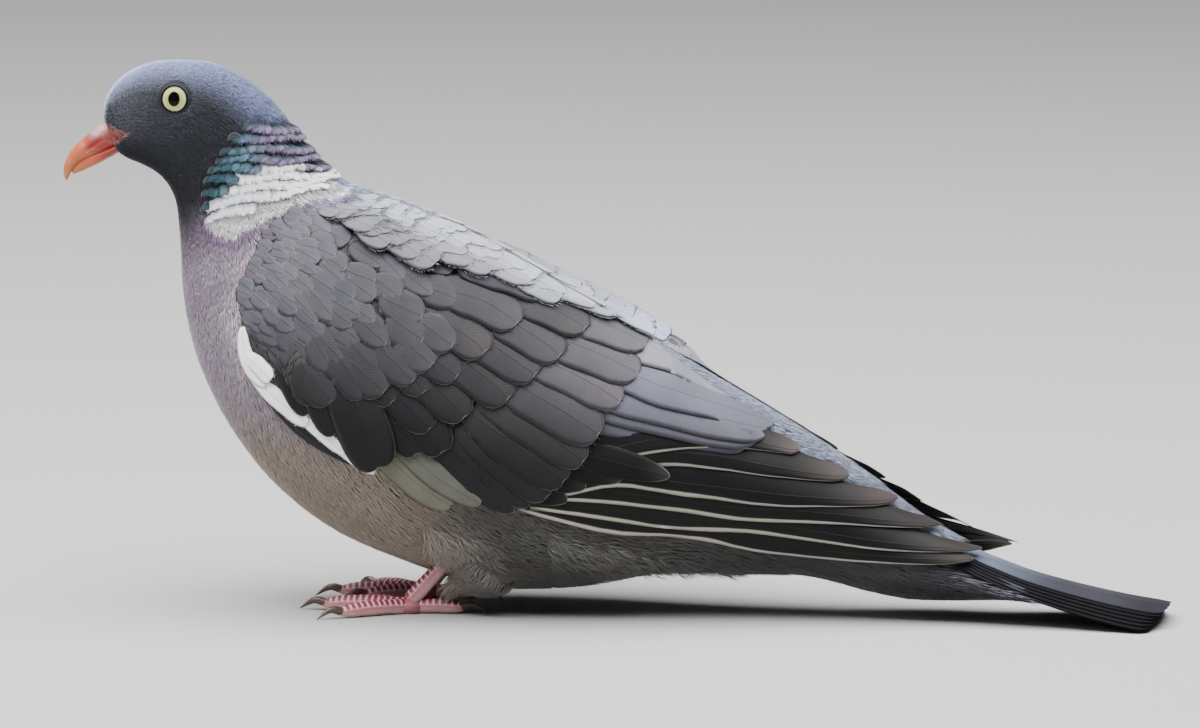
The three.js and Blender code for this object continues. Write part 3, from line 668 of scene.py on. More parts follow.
def tufts(form, a, b, rng, lie, length, depth, lift, width, strands=3, spread=12.0):
    """Tufts of thin closed strands that lie along the coat.

    depth is how far the root is under the form, and lift how far the tip is over it.
    """
    count = len(a)
    heading = unit(lie)
    ways = [(a, b)]
    for step in np.diff(STRAND_RUN):
        ways.append(form.moved(*ways[-1], heading * (length * step)[:, None]))
    fan = np.radians(np.linspace(-spread, spread, strands))[None, :] if strands > 1 else np.zeros((1, 1))
    fan = fan + np.radians(rng.normal(0, 0.35 * spread, (count, strands)))
    reach = 1 - 0.22 * rng.random((count, strands))
    offset = np.linspace(-0.5, 0.5, strands)[None, :] * width[:, None] * (1.6 if strands > 1 else 0)
    tip_lift = lift[:, None] + rng.normal(0, 0.16, (count, strands)) * (width * (1 + np.abs(lift)))[:, None]
    rises = [-depth[:, None] - 0.3 + 0 * tip_lift, lerp(-depth[:, None], tip_lift, 0.72), tip_lift]
    sections = []
    for k, run in enumerate(STRAND_RUN):
        normal = form.frame(*ways[k])[2]
        forward = unit(heading - normal * np.sum(heading * normal, -1, keepdims=True))
        sideways = np.cross(normal, forward)
        shift = offset + np.tan(fan) * (run * length)[:, None] * reach
        pull = (reach - 1) * (run * length)[:, None]
        centre = (
            form.point(*ways[k])[:, None]
            + sideways[:, None] * shift[..., None]
            + forward[:, None] * pull[..., None]
            + normal[:, None] * rises[k][..., None]
        )
        if k == 2:
            sections.append(centre[:, :, None])
            continue
        half = sideways[:, None] * (width[:, None] * STRAND_HALVES[k] * np.ones_like(reach))[..., None]
        ridge = centre + normal[:, None] * (STRAND_RIDGE * width)[:, None, None]
        sections.append(np.stack([centre - half, ridge, centre + half], 2))
    points = np.concatenate(sections, 2).reshape(-1, 3)
    total, each = count * strands, len(STRAND_ACROSS)
    faces = (np.arange(total)[:, None, None] * each + STRAND_FACES).reshape(-1, 3)[:, ::-1]
    run = np.tile(np.repeat(STRAND_RUN, (3, 3, 1)), total)
    return points, faces, run, np.tile(STRAND_ACROSS, total), np.repeat(np.arange(count), strands * each)


def coat(batch, form, a, b, tint, rng, place=skin_place, **shape):
    """Adds tufts to a batch, each in the colour of the skin at its root, lighter at its tip: the darker root
    is painted shade deep in the coat.
    """
    points, faces, run, wide, owner = tufts(form, a, b, rng, **shape)
    vary = 1 + rng.normal(0, 0.025, len(a))
    shade = tint[owner] * (vary[owner] * (0.93 + 0.1 * run))[:, None]
    bake = bake_spots(place(a, b), owner, run, wide)
    batch.add(points, faces, shade, bake, np.stack([wide * 0.2, run * 4], -1), np.full(len(points), 0.5))


def scatter(form, spacing, a_span, b_span, keep=None, grid=(160, 160)):
    """Evenly spread places on a form, at a spacing that may vary over it."""
    a_edges = np.linspace(*a_span, grid[0] + 1)
    b_edges = np.linspace(*b_span, grid[1] + 1)
    a, b = np.meshgrid((a_edges[1:] + a_edges[:-1]) / 2, (b_edges[1:] + b_edges[:-1]) / 2, indexing="ij")
    along, across, _ = form.frame(a, b)
    density = np.linalg.norm(np.cross(along, across), axis=-1) / spacing(a, b) ** 2
    if keep is not None:
        density = density * keep(a, b)
    cell = (a_edges[1] - a_edges[0]) * (b_edges[1] - b_edges[0])
    order = np.arange(int(density.sum() * cell))
    first, second = ((0.5 + order * step) % 1 for step in EVEN_STEPS)
    rows = density.sum(1) + 1e-12
    total = np.concatenate([[0], np.cumsum(rows)]) / rows.sum()
    row = np.clip(np.searchsorted(total, first) - 1, 0, grid[0] - 1)
    each = np.concatenate([np.zeros((grid[0], 1)), np.cumsum(density + 1e-9, 1)], 1)
    each = each / each[:, -1:]
    flat = (each + np.arange(grid[0])[:, None]).ravel()
    return np.interp(first, total, a_edges), np.interp(second + row, flat, np.tile(b_edges, grid[0]))


# ---------------------------------------------------------------- firm feathers


def round_profile(t, start, power=2.2, root=0.45, rise=0.3):
    """Share of the half width along a feather, with a rounded tip from start on."""
    grow = root + (1 - root) * np.clip(t / rise, 0, 1) ** 0.7
    past = np.clip((t - start) / (1 - start), 0, 1)
    return grow * np.clip(1 - past**power, 0, None) ** (1 / power)


def tip_steps(count, crowding=1.7):
    """Steps from 0 to 1 that crowd towards the tip."""
    return 1 - (1 - np.linspace(0, 1, count)) ** crowding


WARM_TO_COOL = np.array([[1.0, 0.2, -1.0]])  # how red, green and blue change as a feather gets warmer


def vanes(form, a, b, half, lift, thick, crown, shingle, sweep=0.35, across=7, shaft=0.0, limit=None):
    """Closed thin vanes over a form.

    a and b are the middle lines, half their half widths and lift their heights over the form,
    all as [feather, step]. The edge towards v = -1 is raised by shingle.
    """
    count, steps = a.shape
    before = form.point(a, b)
    heading = unit(np.gradient(before, axis=1))
    sideways = unit(np.cross(form.frame(a, b)[2], heading))
    v = np.linspace(-1, 1, across)
    step = (
        sideways[:, :, None] * (v * half[..., None])[..., None]
        + heading[:, :, None] * (sweep * (np.abs(v) ** 1.5) * half[..., None])[..., None]
    )
    a2, b2 = form.moved(np.repeat(a[..., None], across, -1), np.repeat(b[..., None], across, -1), step)
    most = np.inf
    if limit is not None:
        b2, most = limit(a2, b2)
    share = half / np.maximum(half.max(1, keepdims=True), 1e-6)
    height = lift[..., None] + crown * half[..., None] * (1 - v**2) - shingle * v * share[..., None]
    height = np.minimum(height, most)
    middle = form.lifted(a2, b2, height)
    t = np.linspace(0, 1, steps)
    plump = thick / 2 * (1 - v**2)[None, None, :, None] * (np.sin(np.pi * t) ** 0.4)[None, :, None, None]
    rise = form.frame(a2, b2)[2] * plump
    size = steps * across
    inner = np.zeros((steps, across), bool)
    inner[1:-1, 1:-1] = True
    upper = np.arange(size).reshape(steps, across)
    lower = upper.copy()
    lower[inner] = size + np.arange(inner.sum())
    quads = []
    for grid, turn in ((upper, -1), (lower, 1)):
        corners = [grid[:-1, :-1], grid[:-1, 1:], grid[1:, 1:], grid[1:, :-1]][::turn]
        quads.append(np.stack(corners, -1).reshape(-1, 4))
    quads = np.concatenate(quads)
    each = size + inner.sum()
    top, bottom = (middle + rise).reshape(count, size, 3), (middle - rise)[:, inner]
    points = np.concatenate([top, bottom], 1).reshape(-1, 3)
    quads = (np.arange(count)[:, None, None] * each + quads).reshape(-1, 4)
    faces = np.concatenate([quads[:, [0, 1, 2]], quads[:, [0, 2, 3]]])
    way = run_along(before)
    to_side, to_tip = (1 - np.abs(v)) * half[..., None], (way[:, -1:] - way)[..., None]

    def spread(grid):
        grid = np.broadcast_to(grid, (count, steps, across))
        return np.concatenate([grid.reshape(count, size), grid[:, inner]], 1).ravel()

    info = {
        "t": spread(t[None, :, None]),
        "v": spread(v[None, None, :]),
        "x": spread((v - shaft) * half[..., None]),
        "y": spread(-to_tip),
        "edge": spread(np.minimum(to_side, to_tip * 0.8 + 0.05)),
        "owner": np.repeat(np.arange(count), each),
        "rim": [np.stack([grid[..., 0], grid[..., -1]], 1) for grid in (a2, b2, height)],
    }
    return points, faces, info


def ragged(rng, half, share, start=0.7, amount=0.1):
    """Half widths with small nicks towards the tip."""
    return half * (1 - amount * rng.random(half.shape) * smoothstep(start, 1.0, share))


def rim_barbs(batch, form, info, tint, rng, number, length, place):
    """Fine loose barbs round the tips of feathers."""
    a, b, height = info["rim"]
    count, _, steps = a.shape
    first = int(steps * 0.35)
    rings = [np.concatenate([grid[:, 0, first:], grid[:, 1, first:][:, ::-1]], 1) for grid in (a, b, height)]
    at = (np.arange(number) + rng.random((count, number))) / number * (rings[0].shape[1] - 1.01)
    k = at.astype(int)
    row = np.arange(count)[:, None]
    root_a, root_b, root_h = (lerp(ring[row, k], ring[row, k + 1], at - k).ravel() for ring in rings)
    middle = a.mean(1)[:, first], b.mean(1)[:, first]
    start = form.point(*(np.repeat(grid, number) for grid in middle))
    tip = form.point(a[:, :, -1].mean(1), b[:, :, -1].mean(1)) - form.point(*middle)
    out = unit(unit(form.point(root_a, root_b) - start) * 0.5 + np.repeat(unit(tip), number, 0) * 0.8)
    barbs = len(root_a)
    points, faces, run, wide, owner = tufts(
        form, root_a, root_b, rng, lie=out, length=length * (0.6 + 0.7 * rng.random(barbs)),
        depth=-root_h + 0.25, lift=root_h + rng.normal(0.0, 0.08, barbs), width=np.full(barbs, BARB_WIDTH),
        strands=1,
    )
    shade = np.repeat(tint, number, 0)[owner] * (1 + rng.normal(0, 0.06, barbs))[owner][:, None]
    bake = bake_spots(place(root_a, root_b), owner, run, wide)
    # off the feather's own vane and edge, so that neither shaft line nor rim falls on them
    vane = np.stack([wide * 0.2 + 3.0, run * 2 - 2], -1)
    batch.add(points, faces, shade, bake, vane, np.full(len(points), 2.0))


def add_vanes(
    batch, form, a, b, half, lift, tint, rng, material=0, place=skin_place, spot=BAKE_SPOT, vary=0.06,
    barbs=0, barb_length=1.6, deepen=None, **shape,
):
    """Adds vanes to a batch. tint is a colour, or a function of what vanes tells of each point."""
    points, faces, info = vanes(form, a, b, half, lift, **shape)
    shade = tint(info) if callable(tint) else np.broadcast_to(tint, points.shape)
    count, owner = a.shape[0], info["owner"]
    # painted shade: lower points of the feathers darker, by their slanting height
    if deepen is not None:
        low, high, share = deepen
        shade = shade * lerp(share, 1.0, smoothstep(low, high, points @ (0.25, 0, 1)))[:, None]
    each = 1 + rng.normal(0, vary, (count, 1)) + rng.normal(0, 0.025, (count, 1)) * WARM_TO_COOL
    shade = shade * each[owner]
    bake = bake_spots(place(a[:, 0], b[:, 0]), owner, info["t"], info["v"], spot)
    batch.add(points, faces, shade, bake, np.stack([info["x"], info["y"]], -1), info["edge"], material)
    if barbs:
        last = np.zeros((count, 3))
        at_tip = info["t"] > 0.93
        np.add.at(last, owner[at_tip], shade[at_tip])
        last = last / np.maximum(np.bincount(owner[at_tip], minlength=count)[:, None], 1)
        rim_barbs(batch, form, info, last * 1.06, rng, barbs, barb_length, place)


# ---------------------------------------------------------------- shaped sheets


def grown_back(form, tip_a, tip_b, heading, length, t):
    """Middle lines of feathers that end at given places, worked out from their tips back. t gives
    the share of the length at each step."""
    a, b = np.zeros((len(tip_a), len(t))), np.zeros((len(tip_a), len(t)))
    a[:, -1], b[:, -1] = tip_a, tip_b
    for k in range(len(t) - 2, -1, -1):
        step = -heading * (length * (t[k + 1] - t[k]))[:, None]
        a[:, k], b[:, k] = form.moved(a[:, k + 1], b[:, k + 1], step)
    return a, b


def wrapped_sheet(name, along, around, place, materials, closed_ends=True, tint=None):
    """A sheet of faces bent round into a closed skin. place maps shares of the way along and
    round to points in millimetres, and its first and last line round are the same."""
    sheet = bmesh.new()
    bmesh.ops.create_grid(sheet, x_segments=along, y_segments=around, size=1.0)
    shares = np.array([v.co[:2] for v in sheet.verts]) / 2 + 0.5
    for vertex, point in zip(sheet.verts, place(shares[:, 0], shares[:, 1]) * MM):
        vertex.co = point
    bmesh.ops.remove_doubles(sheet, verts=sheet.verts, dist=1e-6)
    if closed_ends:
        bmesh.ops.holes_fill(sheet, edges=[e for e in sheet.edges if e.is_boundary], sides=0)
    piece = closed_piece(name, sheet, materials)
    if tint is not None:
        tint_vertices(piece.data, tint)
    return piece


def tint_vertices(mesh, tint):
    """Colours a mesh at its points. tint is a colour, or a function of places in millimetres."""
    points = np.zeros(len(mesh.vertices) * 3, np.float32)
    mesh.vertices.foreach_get("co", points)
    points = points.reshape(-1, 3).astype(float) / MM
    shade_mesh(mesh, tint(points) if callable(tint) else np.broadcast_to(tint, points.shape))


# ---------------------------------------------------------------- the skin

COAT_DEPTHS = ([0, 0.6, 3, 6, 8, 11, 15, 20, 23, 24], [0.5, 0.7, 0.9, 1.2, 1.7, 2.2, 2.6, 2.4, 1.6, 1.0])


def coat_depth(u):
    """How far the skin lies under the outline of the coat."""
    return np.interp(u, *COAT_DEPTHS)


THIGH = {"top": (-35, 21, 20), "bottom": (-50.5, 17.6, 8.5), "radius": 12.5, "coat": 2.0}
THIGH_RUN = [1.0, 0.97, 0.86, 0.66, 0.37, 0.17]


def on_side(place, side):
    """A place given for the right side, on either side."""
    return np.array(place) * (1, side, 1)


def thigh_form(side):
    top, bottom = on_side(THIGH["top"], side), on_side(THIGH["bottom"], side)
    axis = unit(bottom - top)
    level = unit(np.cross(axis, (0, 0, 1.0)))
    upward = np.cross(level, axis)

    def point(t, turn):
        radius = THIGH["radius"] * smooth_rows(np.array(THIGH_RUN)[:, None], np.clip(t, 0, 1) * 5)[..., 0]
        centre = top + (bottom - top) * np.asarray(t)[..., None]
        ring = np.cos(turn)[..., None] * upward + np.sin(turn)[..., None] * level
        return centre + ring * radius[..., None]

    return Form(point, outward=-1)


def signed_locate(points):
    u, phi = locate(points[..., 0], points[..., 2])
    return u, np.where(points[..., 1] < 0, phi, -phi)


def join_pieces(piece, others):
    with bpy.context.temp_override(active_object=piece, selected_editable_objects=[piece, *others]):
        bpy.ops.object.join()


def make_skin():
    """Body and thighs as one closed skin without a seam, a little under the coat."""

    def place(s, r):
        u = s * (COVERTS_END - 0.3) + 0.05
        return body.lifted(u, (r * 2 - 1) * np.pi, -coat_depth(u))

    material = down_material("skin_under_feathers", 0.0)
    whole = wrapped_sheet("skin", 150, 96, place, [material])
    legs = []
    for side in (LEFT, RIGHT):
        form = thigh_form(side)

        def thigh_place(s, r):
            return form.lifted(0.05 + 0.9 * s, r * 2 * np.pi, np.full_like(s, -THIGH["coat"]))

        legs.append(wrapped_sheet("thigh_skin", 14, 28, thigh_place, [material]))
    join_pieces(whole, legs)
    remesh = whole.modifiers.new("one_surface", "REMESH")
    remesh.mode = "VOXEL"
    remesh.voxel_size = 1.9 * MM
    remesh.use_smooth_shade = True
    smooth = whole.modifiers.new("even_out", "SMOOTH")
    smooth.factor = 0.6
    smooth.iterations = 5
    graph = bpy.context.evaluated_depsgraph_get()
    mesh = bpy.data.meshes.new_from_object(whole.evaluated_get(graph))
    mesh.name = "skin"
    mesh.materials.clear()
    mesh.materials.append(material)
    whole.modifiers.clear()
    whole.data = mesh
    tint_vertices(mesh, lambda points: body_colour(*signed_locate(points)) * 0.92)
    mesh.polygons.foreach_set("use_smooth", np.ones(len(mesh.polygons), bool))
    settle(whole, "body_feathers", "head", "neck", "torso", "rump", "thigh_left", "thigh_right")


# ---------------------------------------------------------------- the body's coat

GAPE = [
    (-170, 156.9), (-167.2, 156.3), (-163.5, 155.2), (-158.6, 154.3),
    (-161.4, 152.0), (-164.4, 149.4), (-168.5, 146.0), (-170, 146),
]

# Where the folded wing hides the body: [station, upper angle, lower angle].
WING_COVER = np.array(
    [[10.3, 70, 80], [10.7, 60, 96], [11.6, 55, 112], [12.3, 50, 120], [13.0, 30, 118], [13.6, 24, 116],
     [14.6, 22, 108], [15.7, 26, 100], [16.9, 34, 92], [18.2, 40, 88], [20.0, 45, 92], [21.5, 60, 92]]
)
EYE_CLEAR = 4.5


def under_wing(u, phi):
    turn = np.abs(np.degrees(phi))
    top = np.interp(u, WING_COVER[:, 0], WING_COVER[:, 1], left=200, right=200)
    bottom = np.interp(u, WING_COVER[:, 0], WING_COVER[:, 2], left=0, right=0)
    return (turn > top) & (turn < bottom)


def lie_of_coat(u, phi):
    """The way the feathers point: back along the body, drooping a little on the flanks."""
    along = unit(body.frame(u, phi)[0])
    droop = np.zeros_like(along)
    droop[..., 2] = -0.18 * smoothstep(11, 14, u) * smoothstep(18, 14, u)
    return unit(along + droop)


def soft_coat(name, slot, span, spacing, length, width, lift, fan, keep, rng, soft):
    """One area of the coat, its measures given at the first and the last of its stations."""

    def spaced(u, phi):
        return np.interp(u, span, spacing)

    u, phi = scatter(body, spaced, span, (-np.pi, np.pi), keep)
    u, phi = body.moved(u, phi, rng.normal(0, 0.12, (len(u), 3)) * spaced(u, phi)[:, None])
    lie = unit(lie_of_coat(u, phi) + rng.normal(0, fan / 200, (len(u), 3)))
    size = np.interp(u, span, length) * (1 + rng.normal(0, 0.08, len(u)))
    # lower where the neck's furrows cover it
    rise = np.interp(u, span, lift) - 0.6 * gloss_share(u, body_point(u, phi))
    batch = Batch()
    coat(
        batch, body, u, phi, body_colour(u, phi), rng, lie=lie, length=size, depth=coat_depth(u), lift=rise,
        width=np.interp(u, span, width), spread=fan,
    )
    settle(batch.piece(name, [soft]), slot)


def constant(value):
    return lambda u, phi: np.full(np.shape(u), float(value))


def make_coat():
    rng = np.random.default_rng(5)
    soft = down_material("small_feathers")
    head, neck, rest = "head_feathers", "neck_feathers", "body_feathers"
    # name, slot, stations, then spacing, length, width and lift at both ends, the fan and where it grows
    for area in (
        ("coat_face", head, (0.15, 3.4), (0.5, 0.66), (1.6, 2.8), (0.2, 0.27), (0.0, 0.0), 7, off_face),
        ("coat_head", head, (3.4, 6.9), (0.66, 0.85), (2.8, 4.2), (0.27, 0.34), (0.0, 0.0), 7, off_face),
        ("coat_neck", neck, (6.6, 10.3), (0.88, 1.12), (4.2, 5.2), (0.34, 0.42), (0.0, 0.0), 8, None),
        ("coat_breast", rest, (10.0, 13.0), (1.15, 1.3), (4.6, 5.6), (0.42, 0.48), (0.0, 0.0), 10, off_wing),
        ("coat_keel", rest, (12.9, 16.2), (1.36, 1.52), (5.6, 7.0), (0.48, 0.5), (0.0, 0.1), 11, off_wing),
        ("coat_belly", rest, (16.1, 20.4), (1.5, 1.7), (7.0, 9.0), (0.5, 0.5), (0.1, 0.4), 13, off_wing),
        ("coat_vent", rest, (20.2, 23.7), (1.4, 1.5), (8.0, 10.0), (0.5, 0.5), (0.0, 0.0), 7, tail_root),
    ):
        soft_coat(*area, rng, soft)
    make_mantle(rng, soft)
    for word, side in SIDES:
        make_thigh_coat(word, side, rng, soft)


def tail_root(u, phi):
    """Upper tail coverts end sooner than the ones below."""
    return (u < lerp(22.3, 23.6, smoothstep(70, 100, np.abs(np.degrees(phi))))) * 1.0


def off_wing(u, phi):
    return ~under_wing(u, phi) * 1.0


def off_face(u, phi):
    """The face's feathers leave the lids and the bare corner of the bill free."""
    p = body_point(u, phi)
    eye = body_point(*np.array(EYE_STATION))
    gap = np.minimum(np.linalg.norm(p - eye, axis=-1), np.linalg.norm(p * (1, -1, 1) - eye, axis=-1))
    return (gap > EYE_CLEAR) & (inside(p[..., [0, 2]], GAPE) <= 0.3)


def make_thigh_coat(word, side, rng, soft):
    form = thigh_form(side)
    t, turn = scatter(form, constant(1.3), (0.05, 0.98), (0, 2 * np.pi), grid=(40, 60))
    along = unit(form.frame(t, turn)[0])
    lie = unit(along + np.array([0.25, 0, -0.1]) + rng.normal(0, 0.1, (len(t), 3)))
    u, phi = signed_locate(form.point(t, turn))
    batch = Batch()
    coat(
        batch, form, t, turn, body_colour(u, phi) * 1.05, rng, place=lambda a, b: skin_place(u, phi),
        lie=lie, length=6.5 + 2 * rng.random(len(t)), depth=np.full(len(t), 1.8),
        lift=0.2 + 0.5 * smoothstep(0.6, 1.0, t), width=np.full(len(t), 0.42), spread=14,
    )
    settle(batch.piece("coat_thigh_" + word, [soft]), "body_feathers")


def crease_share(u, phi):
    """Shares of the way from the back line down to the crease over the folded arm."""
    return np.abs(phi) / np.interp(u, *locate(*np.array(CREASE).T, first=8.0))


def mantle_height(u, phi):
    """The soft back feathers rise towards the crease."""
    most = np.interp(u, [9.8, 11.2, 14.0, 16.0], [0.0, 5.5, 5.5, 5.0])
    return most * smoothstep(0.55, 0.97, crease_share(u, phi))


mantle_form = Form(lambda u, phi: body.lifted(u, phi, mantle_height(u, phi)), outward=-1)


def on_mantle(u, phi):
    p = body_point(u, phi)
    return (crease_share(u, phi) < 1.0 + 0.06 * ripple(p, 2.5) + 0.04 * ripple(p, 6.0, 2.0)) & (u > 9.8)


def make_mantle(rng, soft):
    """The soft feathers of the mantle on both sides, from the back line down to the crease."""

    def keep(u, phi):
        return on_mantle(u, phi) * smoothstep(12.0, 10.6, u)

    batch = Batch()
    u, phi = scatter(body, constant(1.2), (9.8, 12.0), np.radians((1, 75)), keep)
    lie = unit(lie_of_coat(u, phi) + rng.normal(0, 0.05, (len(u), 3)))
    rise = mantle_height(u, phi)
    coat(
        batch, body, u, phi, body_colour(u, phi), rng, lie=lie,
        length=6.0 * (0.85 + 0.3 * rng.random(len(u))), depth=0.6 - rise, lift=rise + 0.15,
        width=np.full(len(u), 0.48), spread=8,
    )
    batch.take(batch.mirrored())
    settle(batch.piece("coat_mantle", [soft]), "body_feathers")


def make_leg_wisps():
    """Loose hair-like feathers that hang from the belly over the top of the leg."""
    rng = np.random.default_rng(9)
    soft = down_material("leg_wisps")
    batch = Batch()
    for side in (LEFT, RIGHT):
        # middle x and z, their spread, lie, greatest lift, and how many
        for x0, z0, wide, high, lie, rise, count in (
            (-46, 22.5, 6.5, 4.0, (0.32, 0.25, -0.9), 3.2, 420),
            (8, 19, 16.0, 3.0, (0.75, 0.1, -0.6), 3.0, 420),
        ):
            x = x0 + wide * rng.normal(0, 1, count).clip(-1.6, 1.6)
            z = z0 + high * rng.normal(0, 1, count).clip(-1.6, 1.6) - 0.25 * (x - x0)
            u, phi = locate(x, z, first=12.0)
            phi = phi * -side
            lie = on_side(lie, side) + rng.normal(0, 0.16, (count, 3))
            grey = 0.4 * rng.random(count) * smoothstep(-38, -48, x)
            tint = blend(body_colour(u, phi) * 1.2, WISP_GREY, grey)
            coat(
                batch, body, u, phi, tint, rng, lie=unit(lie), length=8 + 5 * rng.random(count),
                depth=np.full(count, 1.5), lift=0.6 + (rise - 0.6) * rng.random(count) ** 2,
                width=np.full(count, 0.36), spread=16,
            )
    settle(batch.piece("coat_leg_wisps", [soft]), "body_feathers")


# ---------------------------------------------------------------- the neck's furrows

# Heights of the furrows' ridges at x = -125 and at x = -97.
FURROWS = [
    (157.2, 152.8), (153.1, 151.0), (149.2, 148.2), (146.0, 145.2), (142.8, 142.5), (139.3, 140.6),
    (135.4, 138.6), (131.6, 136.6), (127.8, 134.6),
]
FURROW_RISE = ([0, 0.45, 0.78, 1.0], [-1.5, 0.1, 0.95, 0.35])
PATCH_BOTTOM = np.array(
    [[-132.5, 125], [-123.5, 123], [-115.9, 128], [-106.3, 132.2], [-96.8, 135], [-88.5, 136.4], [-84, 142]]
)
FURROW_SPACING = 1.15  # between feathers along a ridge
FURROW_FEATHER = (5.2, 1.9)  # length and half width


def furrow_tips(i, level, rng):
    """Where the feathers of one ridge end: how far along it, and at which stations and angles."""
    x = np.linspace(-136, -86, 400)
    z = lerp(*level, (x + 125) / 28) + 0.2 * np.sin(1.5 * x + 2.3 * i) + 0.6 * np.sin(0.3 * x + 1.7 * i)
    u, phi = locate(x, z, first=5.5)
    floor = np.interp(x, PATCH_BOTTOM[:, 0], PATCH_BOTTOM[:, 1])
    on = (x > neck_front(z) + 0.5 + rng.normal(0, 0.7)) & (phi > 0.05) & (z > floor + 1.5)
    u, phi = u[on], phi[on]
    way = run_along(body.point(u, phi))
    count = int(way[-1] / FURROW_SPACING)
    at = np.linspace(0, way[-1], count) + rng.normal(0, 0.15, count)
    return at, np.interp(at, way, u), np.interp(at, way, phi)


def keep_left(a, b):
    """Keeps the furrows' feathers on their own side and their heights under a millimetre."""
    return np.maximum(b, 0.01), 1.0


def make_furrows():
    """Rows of small round feathers on the neck whose tips stand up as ridges."""
    rng = np.random.default_rng(17)
    material = down_material("neck_gloss", 0.15)
    batch = Batch()
    t = np.linspace(0, 1, 7)
    profile = round_profile(t, 0.5, 2.0, 0.7, 0.3)
    for i, level in enumerate(FURROWS):
        at, tip_u, tip_phi = furrow_tips(i, level, rng)
        count = len(at)
        heading = unit(np.array([0.3, 0.0, -0.95]) + rng.normal(0, 0.06, (count, 3)))
        length = FURROW_FEATHER[0] * (1 + rng.normal(0, 0.08, count)) * smoothstep(-7, 9, at)
        u, phi = grown_back(body, tip_u, tip_phi, heading, length, t)
        tips = body.point(tip_u, tip_phi)
        white = smoothstep(-0.4, 0.4, inside(tips[:, [0, 2]], WHITE_PATCH) + rng.normal(0, 0.2, count))
        wave = np.sin(at * 1.95 + i)
        size = smoothstep(-2, 5, at) * lerp(1.0, 0.6, white) * (1 + 0.08 * wave)
        size = size * (1 + 0.3 * ripple(tips, 6.0, 1.0))
        lift = np.interp(t, *FURROW_RISE)[None, :] * size[:, None] + rng.normal(0, 0.06, (count, 1))
        half = FURROW_FEATHER[1] * (1 + rng.normal(0, 0.1, (count, 1))) * profile
        bead = 0.75 + 0.3 * wave + 0.25 * ripple(tips, 3.0, 2.0)
        bead = bead * (1 + rng.normal(0, 0.08, count))
        crest = gloss_colour(tips, ripple(tips, 9.0, 4.0)) * bead[:, None]
        crest = layered(SHADED_SLATE, (crest, smoothstep(-1, 3, at)), (WHITE, white))
        # painted shade: each feather dark at its base, in the trough under the ridge above, pale grey within
        # the white patch
        trough_shade = blend(TROUGH_SHADE_TEAL, PATCH_SHADE, white)

        def tint(info):
            return blend(trough_shade[info["owner"]], crest[info["owner"]], smoothstep(0.35, 0.9, info["t"]))

        add_vanes(
            batch, body, u, phi, half, lift, tint, rng, crown=0.12, shingle=0.0, across=5, thick=0.1,
            vary=0.05, barbs=4, barb_length=1.0, limit=keep_left,
        )
    right = batch.mirrored()
    settle(batch.piece("neck_furrows_left", [material]), "neck_feathers")
    settle(right.piece("neck_furrows_right", [material]), "neck_feathers")


# ---------------------------------------------------------------- wings

PRIMARY_EDGES = [
    [(-10.5, 50.0), (10, 55), (29.0, 56.4), (44.1, 55.3), (54, 53.6), (61, 51.8)],
    [(-12.8, 46.6), (5, 50.5), (22.0, 51.8), (35.2, 50.3), (48.1, 48.1), (60, 46.2), (77, 43.2)],
    [(-15.1, 41.7), (4.1, 45.6), (16.4, 44.5), (30.6, 42.0), (55.3, 38.8), (72, 37.6), (92, 35.4)],
    [(-17.1, 41.2), (-8.2, 41.3), (19.5, 38.4), (41.6, 34.8), (68.1, 33.1), (84.6, 31.3), (108, 26.8)],
    [(-22, 38.5), (-13.5, 37.5), (8.1, 33.7), (29.2, 30.8), (45.6, 30.4), (68.0, 27.5), (94.5, 23.7),
     (120, 20.2)],
    [(-26, 38), (-17.5, 35.8), (3.7, 29.9), (19, 28.9), (33, 27.2), (50.1, 23.4), (67.6, 21.8), (97.9, 20.0),
     (119, 18.4)],
]
SECONDARY_EDGES = [
    [(-8, 78), (5.2, 73.2), (16.0, 68.3), (31.2, 63.3), (50.5, 57.0)],
    [(-8, 72), (3.7, 67.6), (16.3, 63.9), (31.6, 58.9), (49.8, 54.4)],
    [(-9, 68), (2.8, 65.0), (16.5, 61.2), (30.3, 57.2), (47.5, 53.4)],
    [(-10, 64), (1.8, 61.6), (13.6, 59.2), (28.8, 56.2), (45.5, 52.8)],
    [(-14, 60), (-2, 58.0), (10.6, 55.6), (22.8, 54.0), (40.0, 52.4)],
]
TERTIAL_EDGES = [
    [(-22, 97), (-8, 91.5), (6, 86.5), (19, 80.5), (31, 75.4)],
    [(-16, 91), (-5, 87.5), (8.1, 83.7), (21.7, 78.5), (42.5, 69.2)],
    [(-12, 84), (0, 80.6), (9.5, 77.0), (19.2, 72.5), (30.8, 66.9), (51.5, 58.4)],
]
GREATER_ROOTS = [
    (-18.8, 103.7), (-21.8, 99.7), (-25.4, 94.1), (-29.6, 89.1), (-33.8, 82.1), (-38.3, 75.8), (-41.5, 71.0),
    (-44.5, 66.1), (-48.5, 65.0), (-52.7, 65.0),
]
GREATER_TIPS = [
    (8.6, 93.9), (10.9, 86.7), (9.0, 79.9), (6.0, 72.0), (2.0, 62.1), (-4.2, 54.9), (-9.8, 48.6),
    (-15.5, 43.6), (-20.6, 41.2), (-25.9, 39.8),
]
UPPER_ROOTS = [
    (-47.0, 111.5), (-55.5, 106.5), (-60.0, 99.5), (-66.5, 94.0), (-73.0, 90.5), (-82.5, 88.0),
    (-92.0, 87.0),
]
UPPER_TIPS = [
    (-19.5, 101.8), (-28.0, 95.6), (-36.0, 87.8), (-44.2, 81.0), (-53.5, 76.0), (-64.5, 73.0), (-76.0, 71.5),
]
MEDIAN_ROOTS = [
    (-36.0, 104.8), (-43.2, 101.5), (-49.1, 97.7), (-55.1, 91.6), (-64.6, 86.7), (-76.1, 83.3),
    (-66.0, 78.0), (-74.0, 78.0),
]
